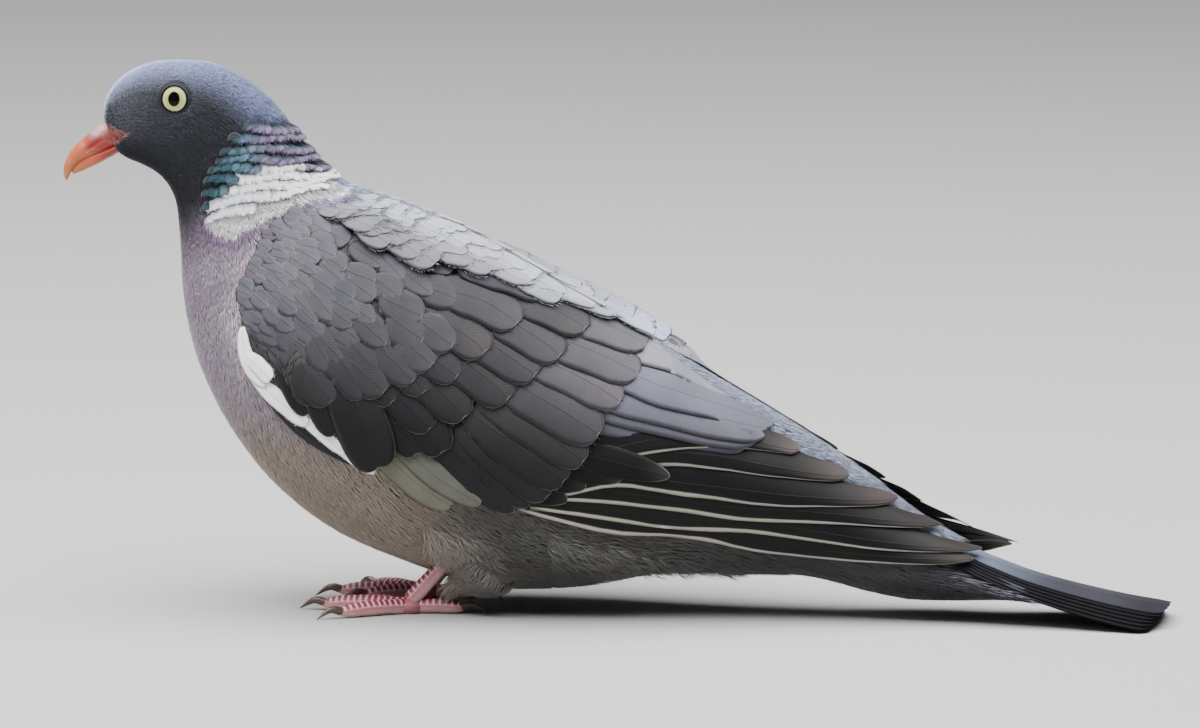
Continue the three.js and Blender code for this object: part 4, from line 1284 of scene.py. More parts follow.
MEDIAN_TIPS = [
    (-8.8, 93.3), (-15.1, 86.6), (-20.8, 81.0), (-27.9, 74.2), (-39.6, 67.8), (-52.7, 65.0), (-47.0, 57.0),
    (-57.5, 57.0),
]
WING_FRONT = [
    (-96.5, 131), (-103, 125.5), (-108.5, 116.5), (-112.3, 109), (-113.5, 101), (-110, 93.5), (-104, 86.5),
    (-96.5, 80),
]

# The folded arm under the coverts: [station, upper angle, lower angle, height over the body].
ARM = np.array(
    [[10.0, 52, 74, 0.8], [10.4, 50, 90, 2.2], [10.9, 45, 106, 3.2], [11.6, 42, 119, 3.9],
     [12.5, 38, 126, 4.2], [13.2, 28, 124, 4.1], [13.9, 24, 120, 3.9], [14.8, 18, 113, 3.4],
     [15.7, 20, 106, 2.9], [16.9, 30, 98, 2.2], [18.2, 44, 92, 1.2]]
)
BACK_CLEARANCE = ([15.3, 16.8, 18.3, 19.8], [0.8, 9.0, 8.0, 3.0])  # by station, in millimetres
FAR_WING_SLIP = 8.0
FAR_TIP_RISE = 5.0
WING_SHADING_BELOW = (42, 95, 0.11)  # painted shade where the wing turns down from the light, over some real darkening of the lower coverts: feathers darken between these slanting heights, to this share
LESSER_SHADING_BELOW = (34, 84, 0.14)


def arm_lift(u, phi):
    """Height of the folded arm over the body."""
    top = np.interp(u, ARM[:, 0], ARM[:, 1])
    bottom = np.interp(u, ARM[:, 0], ARM[:, 2])
    most = np.interp(u, ARM[:, 0], ARM[:, 3], left=0.6, right=0.8)
    v = np.clip((np.abs(np.degrees(phi)) - top) / (bottom - top), 0, 1)
    return most * (0.2 + 0.8 * np.sqrt(np.clip(1 - np.abs(2 * v - 1) ** 3, 0, 1)))


def keep_side(a, b):
    """Keeps a wing's feathers on their own side of the back, low beside it and under the soft
    feathers above the crease. Gives angles and the greatest heights."""
    half = smooth_rows(STATIONS, np.clip(a, 0, LAST_STATION))[..., 4]
    clear = np.interp(a, *BACK_CLEARANCE)
    least = np.arcsin(np.clip(clear / half, 0, 0.9))
    kept = np.maximum(b, least)
    roof = lerp(mantle_height(a, kept) - 0.8, 9.0, smoothstep(0.97, 1.1, crease_share(a, kept)))
    slope = 0.6 + 0.22 * half * (kept - least) + 8.0 * smoothstep(20.0, 21.5, a)
    return kept, lerp(roof, slope, smoothstep(15.4, 16.6, a))


def keep_back(a, b):
    """Keeps the shoulder's feathers on their own side of the back line."""
    return np.maximum(b, 0.02), np.inf


SLIP_FALL = 0.45  # a feather that slips back by a millimetre comes down by this much
TIP_CROWDING = 1.6


def at_shares(line, share):
    """Places at shares of the way along a line of evenly spaced points."""
    steps = np.linspace(0, 1, len(line))
    return np.stack([np.interp(share, steps, line[:, k]) for k in (0, 1)], -1)


def side_path(lines, share):
    """Middle lines given in side view, at shares of their way."""
    return np.array([at_shares(along_line(line, 60), share) for line in lines])


def bowed(root, tip, bow):
    """A bent line from root to tip, its middle moved sideways by bow."""
    root, tip = np.asarray(root, float), np.asarray(tip, float)
    t = np.linspace(0, 1, 9)[:, None]
    heading = tip - root
    normal = np.array([-heading[1], heading[0]]) / np.hypot(*heading)
    return root + heading * t + normal * (4 * t * (1 - t)) * bow


def above_edge(line, share, widest):
    """A middle line that keeps a feather's lower edge on a given line."""
    path = at_shares(along_line(line, 80), share)
    heading = unit(np.gradient(path, axis=0))
    up = np.stack([-heading[:, 1], heading[:, 0]], -1)
    grow = 0.5 + 0.5 * np.clip(share / 0.2, 0, 1) ** 0.7
    return path + up * (widest * grow)[:, None]


PRIMARY_VANE, SMOOTH_VANE, COVERT_VANE, SCAPULAR_VANE, WHITE_VANE, BLACK_VANE = range(6)
QUILL_FINISHES = (
    # name, pale rim, its width and share, roughness, share of the painted side shadow line, width of a pale
    # outer edge
    ("primaries", TAN_EDGE, 0.4, 0.25, 0.5, 0.0, 1.5),
    ("secondaries", TERTIAL_TAN, 0.4, 0.3, 0.6, 0.75),
    ("coverts", TAN_EDGE, 0.35, 0.3, 0.65, 0.1),
    ("scapulars", TAN_EDGE, 0.4, 0.25, 0.75, 0.15),
    ("white_feathers", CREAM, 0.5, 0.3, 0.65, 0.3),
    ("bastard_wing", COVERT, 0.3, 0.3, 0.35, 0.5),
)
CREASE = [
    (-98, 132), (-87.5, 128.2), (-78, 124), (-70, 119), (-63, 115.2), (-54, 113), (-45, 111.5),
    (-36.8, 108.8), (-27.2, 104.5), (-15, 100.5), (0, 94.5), (12, 87.5),
]
ARM_BACK = [(-20, 102.5), (-31.5, 91.8), (-40.1, 84.5), (-48, 78.3), (-60, 73.5), (-75, 71.5), (-90, 70)]
LESSER_ROWS = [0.0, 0.045, 0.09, 0.135, 0.18, 0.23, 0.28, 0.335, 0.395, 0.455, 0.52, 0.6, 0.68, 0.775, 0.885]
SCAPULAR_ROWS = [10.7, 11.0, 11.3, 11.6, 11.9, 12.2, 12.55, 12.9, 13.3, 13.7, 14.15, 14.6, 15.1, 15.6]
WHITE_EDGE = [
    [(-115.3, 94.5), (-114.8, 88.5), (-112.0, 82.0), (-106.5, 76.8)],
    [(-112.5, 80.5), (-107.0, 75.5), (-100.0, 70.6), (-92.5, 65.2)],
    [(-101.0, 72.8), (-94.5, 67.4), (-87.5, 61.8), (-80.0, 56.0)],
    [(-91.0, 65.2), (-84.0, 59.4), (-77.0, 54.0), (-70.5, 50.2)],
    [(-114.6, 86.0), (-112.0, 84.6), (-108.4, 82.0), (-104.6, 78.6)],
]
ALULA = [
    [(-109.0, 76.0), (-99.5, 68.6), (-87.0, 59.6), (-72.3, 51.4)],
    [(-107.0, 72.4), (-99.5, 66.0), (-90.0, 59.6), (-79.0, 53.8)],
]
CREAM_FEATHERS = [
    [(-76, 61), (-63.5, 52.5), (-55.5, 46), (-46.3, 40)],
    [(-70, 66), (-60, 57.5), (-50, 49.2), (-36.5, 41.2)],
]
DROOPING = [
    [(-102, 90), (-98, 80), (-91.8, 68.8)],
    [(-93, 88), (-89, 77), (-82.5, 62.8)],
    [(-80, 87), (-76, 70), (-68.6, 52.6)],
]
PRIMARY_COVERTS = [
    [(-24, 62), (0, 55.5), (23.0, 49.2)],
    [(-30, 60), (-12, 54.5), (8.0, 48.6)],
    [(-36, 56), (-22, 51.0), (-3.0, 46.6)],
    [(-40, 52), (-28, 47.5), (-9.0, 42.2)],
]


def tipped(base, tip, start):
    """A feather's colour, changing to that of its tip from a share of its length on."""
    return lambda info: blend(base, tip, smoothstep(start, 1.0, info["t"]))


def heights(pairs, share):
    """Heights of feathers over the body, given at root and tip."""
    return np.array([lerp(root, tip, share**1.2) for root, tip in pairs])


def wing_quills(rng, slip):
    """The large feathers of a left wing, slipped back by a distance that is 0 on the near wing."""
    batch = Batch()

    def row(paths, half, lift, tint, material, **shape):
        shape = {
            "crown": 0.02, "shingle": 0.22, "limit": keep_side, "across": 9, "thick": 0.14,
            "deepen": WING_SHADING_BELOW, **shape,
        }
        u, phi = locate(paths[..., 0], paths[..., 1], first=8.0)
        lift = lift + 0.12 * ripple(body.point(u, phi), 9.0, 3.0)
        add_vanes(batch, body, u, phi, half, lift, tint, rng, material, **shape)

    def shifted(lines, spare=0.0):
        moved = []
        for line in lines:
            more = slip + rng.normal(0, 0.5 if slip else 0.0) + rng.normal(0, spare)
            moved.append([(x + more, z - SLIP_FALL * more) for x, z in line])
        return moved

    def edged_row(edges, widths, profile, pairs, tint, material, **shape):
        """Long feathers given by their lower edges."""
        paths = np.array([above_edge(e, share, w) for e, w in zip(shifted(edges), widths)])
        half = np.array(widths)[:, None] * round_profile(share, *profile)
        row(paths, half, heights(pairs, share), tint, material, spot=QUILL_SPOT, **shape)

    def short_row(lines, widths, profile, pairs, tint, material, **shape):
        """Short feathers given by their middle lines."""
        half = np.array(widths)[:, None] * round_profile(share, *profile)
        row(side_path(shifted(lines), share), half, heights(pairs, share), tint, material, **shape)

    share = tip_steps(34, TIP_CROWDING)
    # primaries
    widths = np.array([7.5, 7.8, 7.6, 7.2, 6.6, 5.8])
    taper = 1 - 0.54 * smoothstep(0.5, 1.0, share)
    half = widths[:, None] * round_profile(share, 0.94, 2.0, 0.55, 0.2) * taper
    paths = np.array([above_edge(e, share, w * taper) for e, w in zip(shifted(PRIMARY_EDGES), widths)])
    rise = (FAR_TIP_RISE if slip else 0.0) * np.array([0, 0, 0.2, 0.5, 0.9, 1.0])
    pairs = [(2.1, 2.8), (1.9, 2.5), (1.7, 2.2), (1.4, 1.8), (1.1, 1.4), (0.8, 1.0)]
    lift = heights(pairs, share) + rise[:, None] * smoothstep(0.5, 1.0, share)
    # painted light: the far wing's primaries paler brown towards the tip, and from earlier along, against
    # the shade they lie in
    tint = tipped(PRIMARY, PRIMARY_TIP * (1.3 if slip else 1.0), 0.35 if slip else 0.6)
    row(
        paths, ragged(rng, half, share, 0.8, 0.06), lift, tint, PRIMARY_VANE,
        shaft=-0.45, sweep=0.15, shingle=0.4, crown=0.03, spot=QUILL_SPOT,
    )
    edged_row(
        SECONDARY_EDGES, (7.2,) * 5, (0.86, 2.2, 0.5, 0.2),
        [(3.3, 4.6), (2.9, 4.0), (2.5, 3.4), (2.1, 2.8), (1.7, 2.2)],
        tipped(SECONDARY, SECONDARY * 0.9, 0.5), SMOOTH_VANE, sweep=0.1,
    )
    edged_row(
        TERTIAL_EDGES, (8.5, 9.0, 9.5), (0.86, 2.2, 0.5, 0.25), [(3.8, 5.0), (3.5, 4.8), (3.2, 4.6)],
        tipped(TERTIAL, TERTIAL_TAN, 0.4), SMOOTH_VANE, sweep=0.2,
    )
    share = tip_steps(24, TIP_CROWDING)
    # primary coverts, under the greater ones
    short_row(
        PRIMARY_COVERTS, (5.0, 4.8, 4.6, 4.6), (0.55, 1.7, 0.5, 0.3),
        [(2.4, 3.1), (2.3, 3.0), (2.2, 2.9), (2.1, 2.8)], tipped(PRIMARY, GREATER, 0.6), COVERT_VANE,
    )
    # greater coverts, then two rows of median ones
    for roots, tips, widest, most, tint in (
        (GREATER_ROOTS, GREATER_TIPS, 8.8, 5.2, GREATER),
        (MEDIAN_ROOTS, MEDIAN_TIPS, 7.8, 5.6, COVERT * 0.8),
        (UPPER_ROOTS, UPPER_TIPS, 7.0, 5.9, COVERT * 0.85),
    ):
        count = len(roots)
        lines = [bowed(r, t, 1.4 + rng.normal(0, 0.5)) for r, t in zip(roots, tips)]
        fall = np.linspace(0, 1, count)[:, None]
        size = widest * (1 + rng.normal(0, 0.05, (count, 1))) * lerp(1.0, 0.74, fall)
        half = ragged(rng, size * round_profile(share, 0.66, 2.1, 0.5, 0.3), share, 0.7, 0.11)
        lift = lerp(lerp(most - 1.4, most - 2.6, fall), lerp(most - 0.8, most - 2.0, fall), share**1.2)
        # painted shadow: each feather darker at its root, under the tips of the row above
        row(
            side_path(shifted(lines, 0.9), share), half, lift, tipped(tint * 0.72, tint, 0.25), COVERT_VANE,
            barbs=16, barb_length=1.3,
        )
    # cream feathers, drooping coverts, the white wing edge and the bastard wing
    short_row(
        CREAM_FEATHERS, (5.6, 4.4), (0.66, 2.0, 0.5, 0.4), [(1.8, 2.6), (2.0, 3.2)], CREAM, WHITE_VANE,
        shingle=0.2, deepen=None,
    )
    # the drooping coverts darker at the root, a painted shadow under the feathers above
    short_row(
        DROOPING, (5.0, 6.2, 8.8), (0.6, 2.3, 0.5, 0.35), [(3.2, 3.6), (3.6, 4.0), (4.0, 4.8)],
        tipped(COVERT * 0.8, COVERT, 0.3), COVERT_VANE,
    )
    short_row(
        WHITE_EDGE, (2.9, 3.3, 2.4, 2.0, 3.0), (0.7, 2.0, 0.5, 0.4),
        [(2.2, 3.2), (2.4, 3.2), (2.5, 3.1), (2.5, 3.0), (2.6, 3.7)], WHITE, WHITE_VANE,
        shingle=0.1, barbs=14, barb_length=0.9, deepen=None,
    )
    short_row(
        ALULA, (3.9, 3.0), (0.55, 1.8, 0.5, 0.4), [(1.2, 1.9), (0.9, 1.4)], BLACK_BLUE, BLACK_VANE,
        shingle=0.3, deepen=None,
    )
    return batch


def arm_patch(share, drop):
    """A place on the arm: share runs from the wing's front back, drop from its top down."""
    front, back = at_shares(along_line(WING_FRONT, 40), drop), at_shares(along_line(ARM_BACK, 40), drop)
    bulge = np.stack([0 * share, 4.0 * share * (1 - share) * (1 - drop) * 4], -1)
    return lerp(front, back, share[..., None]) + bulge


def staggered(rng, count, i, offset, jitter):
    """Even shares along a row of feathers, every other row moved by half a feather."""
    drop = (np.arange(count) + offset - (0.5 if i % 2 else 0.0)) / count
    return drop + rng.normal(0, jitter / count, count)


def lesser_coverts(rng, slip):
    """Scale-like feathers in staggered rows, small at the bend of the wing, larger behind."""
    batch = Batch()
    t = tip_steps(10, 1.5)
    for i, share in enumerate(LESSER_ROWS):
        line = arm_patch(np.full(30, share), np.linspace(0, 1, 30))
        spacing = lerp(3.3, 8.6, share)
        count = int(round(run_along(line)[-1] / spacing))
        drop = np.clip(staggered(rng, count, i, 0.75, 0.2), 0.0, 1.0)
        at = np.full(count, share) + rng.normal(0, lerp(0.01, 0.022, share), count)
        tip = arm_patch(at, drop)
        heading = unit(tip - arm_patch(at - 0.12, drop))
        turn = np.radians(-4 - 14 * drop + rng.normal(0, 6, count))
        (x, z), c, sn = heading.T, np.cos(turn), np.sin(turn)
        heading = np.stack([x * c - z * sn, x * sn + z * c], -1)
        length = lerp(5.5, 17.0, share**0.9) * (1 + rng.normal(0, 0.07, count))
        path = tip[:, None] - heading[:, None] * (length[:, None] * (1 - t))[..., None]
        path = path + (slip, -SLIP_FALL * slip)
        u, phi = locate(path[..., 0], path[..., 1], first=8.0)
        size = spacing * 0.76 * (1 + rng.normal(0, 0.12, count))[:, None]
        half = ragged(rng, size * round_profile(t, 0.45, 1.9, 0.6, 0.3), t, 0.5, 0.14)
        rise = lerp(0.0, lerp(0.12, 0.5, share), t**1.2)[None, :] + rng.normal(0, 0.04, count)[:, None] * t
        lift = arm_lift(u, phi) * lerp(0.92, 1.12, share) + rise
        tint = lerp(COVERT_BLUE, COVERT, min(1, 1.3 * share))
        # painted shadow: each feather darker at its root, under the tips of the row before
        add_vanes(
            batch, body, u, phi, half, lift, tipped(tint * lerp(0.88, 0.72, share), tint, 0.3), rng,
            crown=lerp(0.01, 0.04, share), shingle=lerp(0.02, 0.12, share), limit=keep_side, thick=0.1,
            deepen=LESSER_SHADING_BELOW, barbs=int(lerp(9, 16, share)), barb_length=lerp(0.9, 1.4, share),
        )
    return batch


def scapulars(batch, rng):
    """Adds the soft feathers of the shoulder, from the back line to the crease over the wing."""
    crease_u, crease_phi = locate(*np.array(CREASE).T, first=8.0)
    t = tip_steps(12, 1.5)
    for i, row in enumerate(SCAPULAR_ROWS):
        share = i / (len(SCAPULAR_ROWS) - 1)
        most = np.interp(row, crease_u, crease_phi)
        count = int(round(most * 36 / lerp(3.0, 4.8, share)))
        drop = np.clip(staggered(rng, count, i, 0.95, 0.12), 0.03, 1.0)
        tip_u = np.full(count, row) + rng.normal(0, 0.08, count)
        tip_phi = lerp(np.radians(4), most, drop)
        length = lerp(8, 22, share) * (1 + rng.normal(0, 0.08, count))
        heading = unit(mantle_form.frame(tip_u, tip_phi)[0]) + (0.0, 0.0, -0.10)
        u, phi = grown_back(mantle_form, tip_u, tip_phi, heading, length, t)
        phi = np.maximum(phi, np.radians(1.5))
        size = lerp(3.2, 8.4, share) * (1 + rng.normal(0, 0.08, count))[:, None]
        half = ragged(rng, size * round_profile(t, 0.5, 2.1, 0.6, 0.3), t, 0.6, 0.08)
        lift = lerp(-0.4, 0.45, t) + rng.normal(0, 0.05, count)[:, None] * t
        whole = body_colour(tip_u, tip_phi) * lerp(0.96, 1.04, rng.random((count, 1)))

        # painted shadow: darker towards the root, under the feathers above
        def tint(info):
            return whole[info["owner"]] * lerp(0.85, 1.0, info["t"])[:, None]

        add_vanes(
            batch, mantle_form, u, phi, half, lift, tint, rng, SCAPULAR_VANE, crown=0.02, shingle=0.08,
            limit=keep_back, across=9, thick=0.14, vary=0.03, barbs=26, barb_length=2.0,
        )


def make_arm(node, side, material):
    """The skin of the folded arm under the coverts, a thin closed shell."""

    def place(s, r):
        u, top, bottom = np.moveaxis(smooth_rows(ARM, s * (len(ARM) - 1)), -1, 0)[:3]
        outer = r < 0.5
        v = np.where(outer, r * 2, 2 - r * 2)
        phi = np.radians(lerp(top, bottom, v))
        lift = np.where(outer, arm_lift(u, phi) - 0.5, -0.9)
        lift = np.where((v < 1e-6) | (v > 1 - 1e-6), -0.4, lift)
        return body.lifted(u, phi, lift) * (1, -side, 1)

    piece = wrapped_sheet(node + "_arm", 60, 40, place, [material], tint=COVERT * 0.8)
    settle(piece, "wing_feathers", node)


def make_wings():
    lesser_material = vane_material("lesser_coverts", TAN_EDGE, 0.3, 0.18, 0.7, 0.1)
    arm_material = down_material("wing_skin", 0.0)
    materials = [vane_material(*finish) for finish in QUILL_FINISHES]
    for (word, side), slip, seed in zip(SIDES, (0.0, FAR_WING_SLIP), (21, 33)):
        quills = wing_quills(np.random.default_rng(seed), slip)
        rng = np.random.default_rng(seed + 100)
        coverts = lesser_coverts(rng, slip)
        scapulars(quills, rng)
        if side == RIGHT:
            quills, coverts = quills.mirrored(), coverts.mirrored()
        node = "wing_" + word
        settle(quills.piece(node + "_quills", materials), "wing_feathers", node)
        settle(coverts.piece(node + "_coverts", [lesser_material]), "wing_feathers", node)
        make_arm(node, side, arm_material)


# ---------------------------------------------------------------- tail

TAIL_PAIRS = 6
TAIL_ROOTS, TAIL_TIPS = (2.5, 8.0), (6.0, 18.0)  # sideways places of the inmost and outmost pair
TAIL_HALVES = (5.5, 9.7)  # half widths at root and tip
TAIL_DEPTH, TAIL_LAYER = 0.35, 0.44  # of the upper pair under the tail's form, and more for each below


def make_tail():
    rng = np.random.default_rng(8)
    batch = Batch()
    steps = 40
    t = tip_steps(steps, 1.4)
    material = vane_material("tail_feathers", TAIL_DARK, 0.4, 0.2, 0.8, 0.0, shine=0.06)
    for pair in range(TAIL_PAIRS):
        rank = pair / (TAIL_PAIRS - 1)
        for side in (LEFT, RIGHT):
            rng.normal()  # one draw goes unused, which shifts the random fraying of the ends
            x = lerp(TAIL_SPAN[0] - 4, TAIL_SPAN[1] - 0.5 * pair, t)
            y = side * lerp(lerp(*TAIL_ROOTS, rank), lerp(*TAIL_TIPS, rank), np.clip(tail_share(x), 0, 1))
            half = lerp(*TAIL_HALVES, t) * round_profile(t, 0.93, 2.6, 0.6, 0.3)
            fray = 1 - 0.10 * rng.random(steps) * smoothstep(0.9, 1.0, t)
            lift = np.full(steps, -(TAIL_DEPTH + TAIL_LAYER * pair))

            def tint(info):
                x = lerp(*TAIL_SPAN, info["t"])
                top = blend(RUMP * 0.28, TAIL_GREY, smoothstep(112, 140, x))
                top = blend(top, TAIL_DARK, smoothstep(145, 172, x) * 0.8)
                # the lower pairs are painted near black: their real dark undersides and painted shade under
                # the upper pair
                return top if pair < 1 else blend(top, UNDERSIDE_AND_SHADE, np.full(len(x), 0.9))

            add_vanes(
                batch, tail_form, x[None], y[None], (half * fray)[None], lift[None], tint, rng,
                place=lambda a, b: skin_place(np.interp(a, [95, 181], [22, 25]), b / 30), spot=0.02,
                crown=0.04, shingle=0.0, sweep=0.2, across=11, thick=0.35,
            )
    settle(batch.piece("tail_quills", [material]), "tail_feathers", "tail")


# ---------------------------------------------------------------- bill and eyes

UPPER_BILL = [
    [-166.4, 157.2, -161.5, 149.8, 4.7],
    [-167.9, 156.7, -164.3, 148.3, 4.75],
    [-170.2, 154.9, -167.0, 146.8, 4.6],
    [-172.6, 153.0, -169.8, 145.7, 4.3],
    [-174.9, 151.2, -172.6, 144.7, 3.85],
    [-177.0, 149.4, -175.0, 143.7, 3.35],
    [-178.8, 147.4, -177.0, 142.3, 2.75],
    [-180.3, 144.8, -178.4, 140.6, 2.1],
    [-181.2, 142.4, -179.3, 139.2, 1.5],
    [-181.5, 140.2, -180.0, 137.8, 0.95],
    [-181.1, 138.0, -180.4, 137.2, 0.4],
]
LOWER_BILL = [
    [-160.2, 151.2, -161.0, 148.0, 4.2],
    [-164.4, 149.6, -164.4, 146.0, 4.0],
    [-167.6, 148.2, -167.0, 144.5, 3.75],
    [-170.2, 147.3, -169.6, 143.1, 3.3],
    [-173.0, 146.2, -172.7, 141.6, 2.6],
    [-175.4, 145.0, -175.2, 140.5, 1.9],
    [-177.6, 143.0, -177.2, 139.7, 1.2],
    [-178.6, 140.9, -178.4, 139.4, 0.6],
]
BILL_RED = colour(140, 50, 38)
BILL_DEEP = colour(190, 52, 44)
BILL_CERE = colour(200, 162, 162)
BILL_TIP = colour(186, 110, 62)
BILL_PINK = colour(200, 100, 62)


def bill_place(table, upper):
    """Half a bill from rows of [top x, top z, lower x, lower z, half width], root to tip."""
    power = 2.3

    def place(s, r):
        top_x, top_z, low_x, low_z, half = np.moveaxis(smooth_rows(table, s * (len(table) - 1)), -1, 0)
        turn = 2 * np.pi * r
        c, sn = np.cos(turn), np.sin(turn)
        y = np.sign(sn) * np.abs(sn) ** (2 / power) * half
        share = (c + 1) / 2
        if upper:
            y = y * (1 - 0.16 * np.clip(c, 0, 1) ** 2)
            share = np.where(c < 0, 0.5 + 0.5 * c * 0.96, share)
        x, z = lerp(low_x, top_x, share), lerp(low_z, top_z, share)
        if upper:
            x, y, z = cere_and_nostril(x, y, z)
        return np.stack([x, y, z], -1)

    return place


CERE = {"x": -168.3, "z": 154.6, "y": 2.1, "long": 4.2, "high": 2.2}
NOSTRIL = {"x": -170.2, "z": 150.0, "long": 3.3, "high": 0.5}
BILL_TILT = math.radians(38)


def along_bill(x, z, centre):
    """Places relative to a point of the bill, along the bill towards its tip and up from it."""
    dx, dz = x - centre["x"], z - centre["z"]
    along = -dx * math.cos(BILL_TILT) - dz * math.sin(BILL_TILT)
    up = -dx * math.sin(BILL_TILT) + dz * math.cos(BILL_TILT)
    return along, up


def cere_and_nostril(x, y, z):
    along, up = along_bill(x, z, CERE)
    side = np.abs(y)
    swell = np.exp(-((along / CERE["long"]) ** 4) - (up / CERE["high"]) ** 4) * smoothstep(0.1, 1.6, side)
    along, up = along_bill(x, z, NOSTRIL)
    slit = np.exp(-((along / NOSTRIL["long"]) ** 4) - (up / NOSTRIL["high"]) ** 2)
    slit = slit * smoothstep(1.5, 2.6, side)
    groove = np.exp(-(((up + 0.3) / 0.9) ** 2)) * smoothstep(-4, 0, along) * smoothstep(7, 3, along)
    out = 0.75 * swell - 1.15 * slit - 0.25 * groove * smoothstep(1.0, 2.4, side)
    return x, y + np.sign(y) * out, z + 0.45 * swell


def bill_colour(points):
    """Red behind, pink in front of it and horn-yellow at the tip, with the pale cere."""
    x, z = points[:, 0], points[:, 2]
    reach = np.hypot(x + 164.5, z - 153.5)
    along, up = along_bill(x, z, CERE)
    cere = smoothstep(1.5, 0.45, np.hypot(along / CERE["long"], (up - 0.6) / (CERE["high"] + 0.3)))
    along, up = along_bill(x, z, NOSTRIL)
    slit = np.exp(-((along / 3.0) ** 2) - (up / 0.8) ** 2)
    mouth = np.exp(-(((up + 3.6) / 0.9) ** 2)) * smoothstep(8, 2, along)
    return layered(
        BILL_RED,
        (BILL_PINK, smoothstep(7, 12, reach) * 0.8),
        (BILL_TIP, smoothstep(13, 18.5, reach)),
        (BILL_CERE, cere * (0.85 + 0.3 * ripple(points, 1.3))),
        (BILL_DEEP, slit * 0.9),
        (BILL_DEEP, mouth * 0.6),
    )


def make_bill():
    paint = Paint("bill_horn", Roughness=0.42, Subsurface_Weight=0.12, Subsurface_Scale=0.001)
    tint = paint.mix(paint.step(paint.noise(420, 4), 0.5, 0.75) * 0.2, paint.shade(), BILL_CERE)
    tint = paint.scaled(tint, paint.noise(1500, 2) * 0.3 + 0.85)
    material = paint.finish(tint, height=paint.noise(1400, 3), relief=0.00006)
    for node, table, rings in (("bill_upper", UPPER_BILL, 70), ("bill_lower", LOWER_BILL, 40)):
        place = bill_place(table, node == "bill_upper")
        piece = wrapped_sheet(node + "_horn", rings, 56, place, [material], tint=bill_colour)
        settle(piece, "bill_horn", node)


IRIS = colour(166, 168, 98)
IRIS_OUT = colour(204, 205, 148)
EYE_RIM = colour(14, 14, 18)
PUPIL_BLACK = colour(8, 8, 10)
LID_BLACK = colour(9, 9, 11)
LID_GREY = colour(58, 58, 64)
PUPIL = (1.85, 2.3)  # half width and half height
LID_THICKNESS = 0.25


def eye_axes(side):
    """The eye's centre and the directions out of it, forward and up, in millimetres."""
    centre = np.array([EYE["x"], side * EYE["y"], EYE["z"]])
    normal = body.frame(*np.array(EYE_STATION))[2] * (1, -side, 1)
    out = unit(np.array([0.02, side * 1.0, 0.05]) + 0.2 * normal)
    forward = unit(np.cross(out, (0, 0, 1.0)) * side)
    up = unit(np.cross(forward, out) * side)
    up = up if up[2] > 0 else -up
    return centre, out, forward, up


def iris_material(word, centre, forward, up):
    """A pale iris, darker outside, round an upright oval pupil, in millimetres from the centre."""
    paint = Paint("iris_" + word, Roughness=0.08, Coat_Weight=0.0, Specular_IOR_Level=0.12)
    inputs = {"Vector": paint.places(), "Location": tuple(-centre * MM)}
    local = paint.node("ShaderNodeMapping", None, inputs).outputs[0]
    across, height = (paint.axis(local, *(float(v) / MM for v in way)) for way in (forward, up))
    reach = (across * across + height * height) ** 0.5
    half, high = PUPIL
    oval = ((across / half) * (across / half) + (height / high) * (height / high)) ** 0.5
    tint = paint.mix(paint.step(reach, 2.2, 3.9), IRIS, IRIS_OUT)
    tint = paint.scaled(tint, paint.noise(2600, 3) * 0.3 + 0.86)
    tint = paint.mix(paint.step(oval, 1.12, 0.98), tint, PUPIL_BLACK)
    tint = paint.mix(paint.step(reach, 3.95, 4.35), tint, EYE_RIM)
    return paint.finish(tint)


def make_eyes():
    for word, side in SIDES:
        centre, out, forward, up = eye_axes(side)
        ball = bmesh.new()
        bmesh.ops.create_uvsphere(ball, u_segments=72, v_segments=40, radius=1.0)
        for vertex in ball.verts:
            x, y, z = np.array(vertex.co) * (EYE["radius"], EYE["radius"], EYE["depth"])
            vertex.co = (centre + forward * x + up * y + out * z) * MM
        piece = closed_piece("eyeball_" + word, ball, [iris_material(word, centre, forward, up)])
        settle(piece, "eye", "eye_" + word)
        make_lids(word, side)


# The lids' rim: [distance from the eye's axis, height over the eyeball].
LID_PROFILE = [(3.95, 0.2), (4.05, 0.45), (4.25, 0.52), (4.5, 0.4), (4.75, 0.12), (5.1, -0.35), (5.7, -1.0)]


def make_lids(word, side):
    """The bare ring of lids round the eye: a rolled rim against the eyeball."""
    centre, out, forward, up = eye_axes(side)

    def place(s, r):
        ring, height = np.moveaxis(smooth_rows(LID_PROFILE, s * (len(LID_PROFILE) - 1)), -1, 0)
        turn = r * 2 * np.pi
        ring = ring * (1 + 0.012 * np.sin(9 * turn + 2) * smoothstep(4.0, 5.0, ring))
        ring = ring * (1 - 0.03 * np.cos(2 * turn))
        fall = EYE["depth"] * np.sqrt(np.clip(1 - (np.minimum(ring, 4.0) / EYE["radius"]) ** 2, 0, 1))
        wave = 0.07 * np.sin(17 * turn) * smoothstep(0.15, 0.5, s) * smoothstep(1.0, 0.6, s)
        level = fall + height - 0.12 + wave
        return (
            centre
            + (np.cos(turn) * ring)[:, None] * forward
            + (np.sin(turn) * ring)[:, None] * up
            + level[:, None] * out
        )

    def tint(points):
        gap = points - centre
        ring = np.hypot(gap @ forward, gap @ up)
        return layered(
            LID_BLACK, (LID_GREY, smoothstep(4.45, 4.6, ring)), (SHADED_SLATE * 0.9, smoothstep(4.6, 4.95, ring)),
        )

    paint = Paint("lids_" + word, Roughness=0.85, Specular_IOR_Level=0.1)
    shade = paint.scaled(paint.shade(), paint.noise(1800, 3) * 0.5 + 0.75)
    material = paint.finish(shade, height=paint.noise(2200, 2), relief=0.00008)
    piece = wrapped_sheet("lids_" + word, 24, 96, place, [material], closed_ends=False, tint=tint)
    solid = piece.modifiers.new("skin_depth", "SOLIDIFY")
    solid.thickness = LID_THICKNESS * MM
    solid.offset = -1
    settle(piece, "head_feathers")


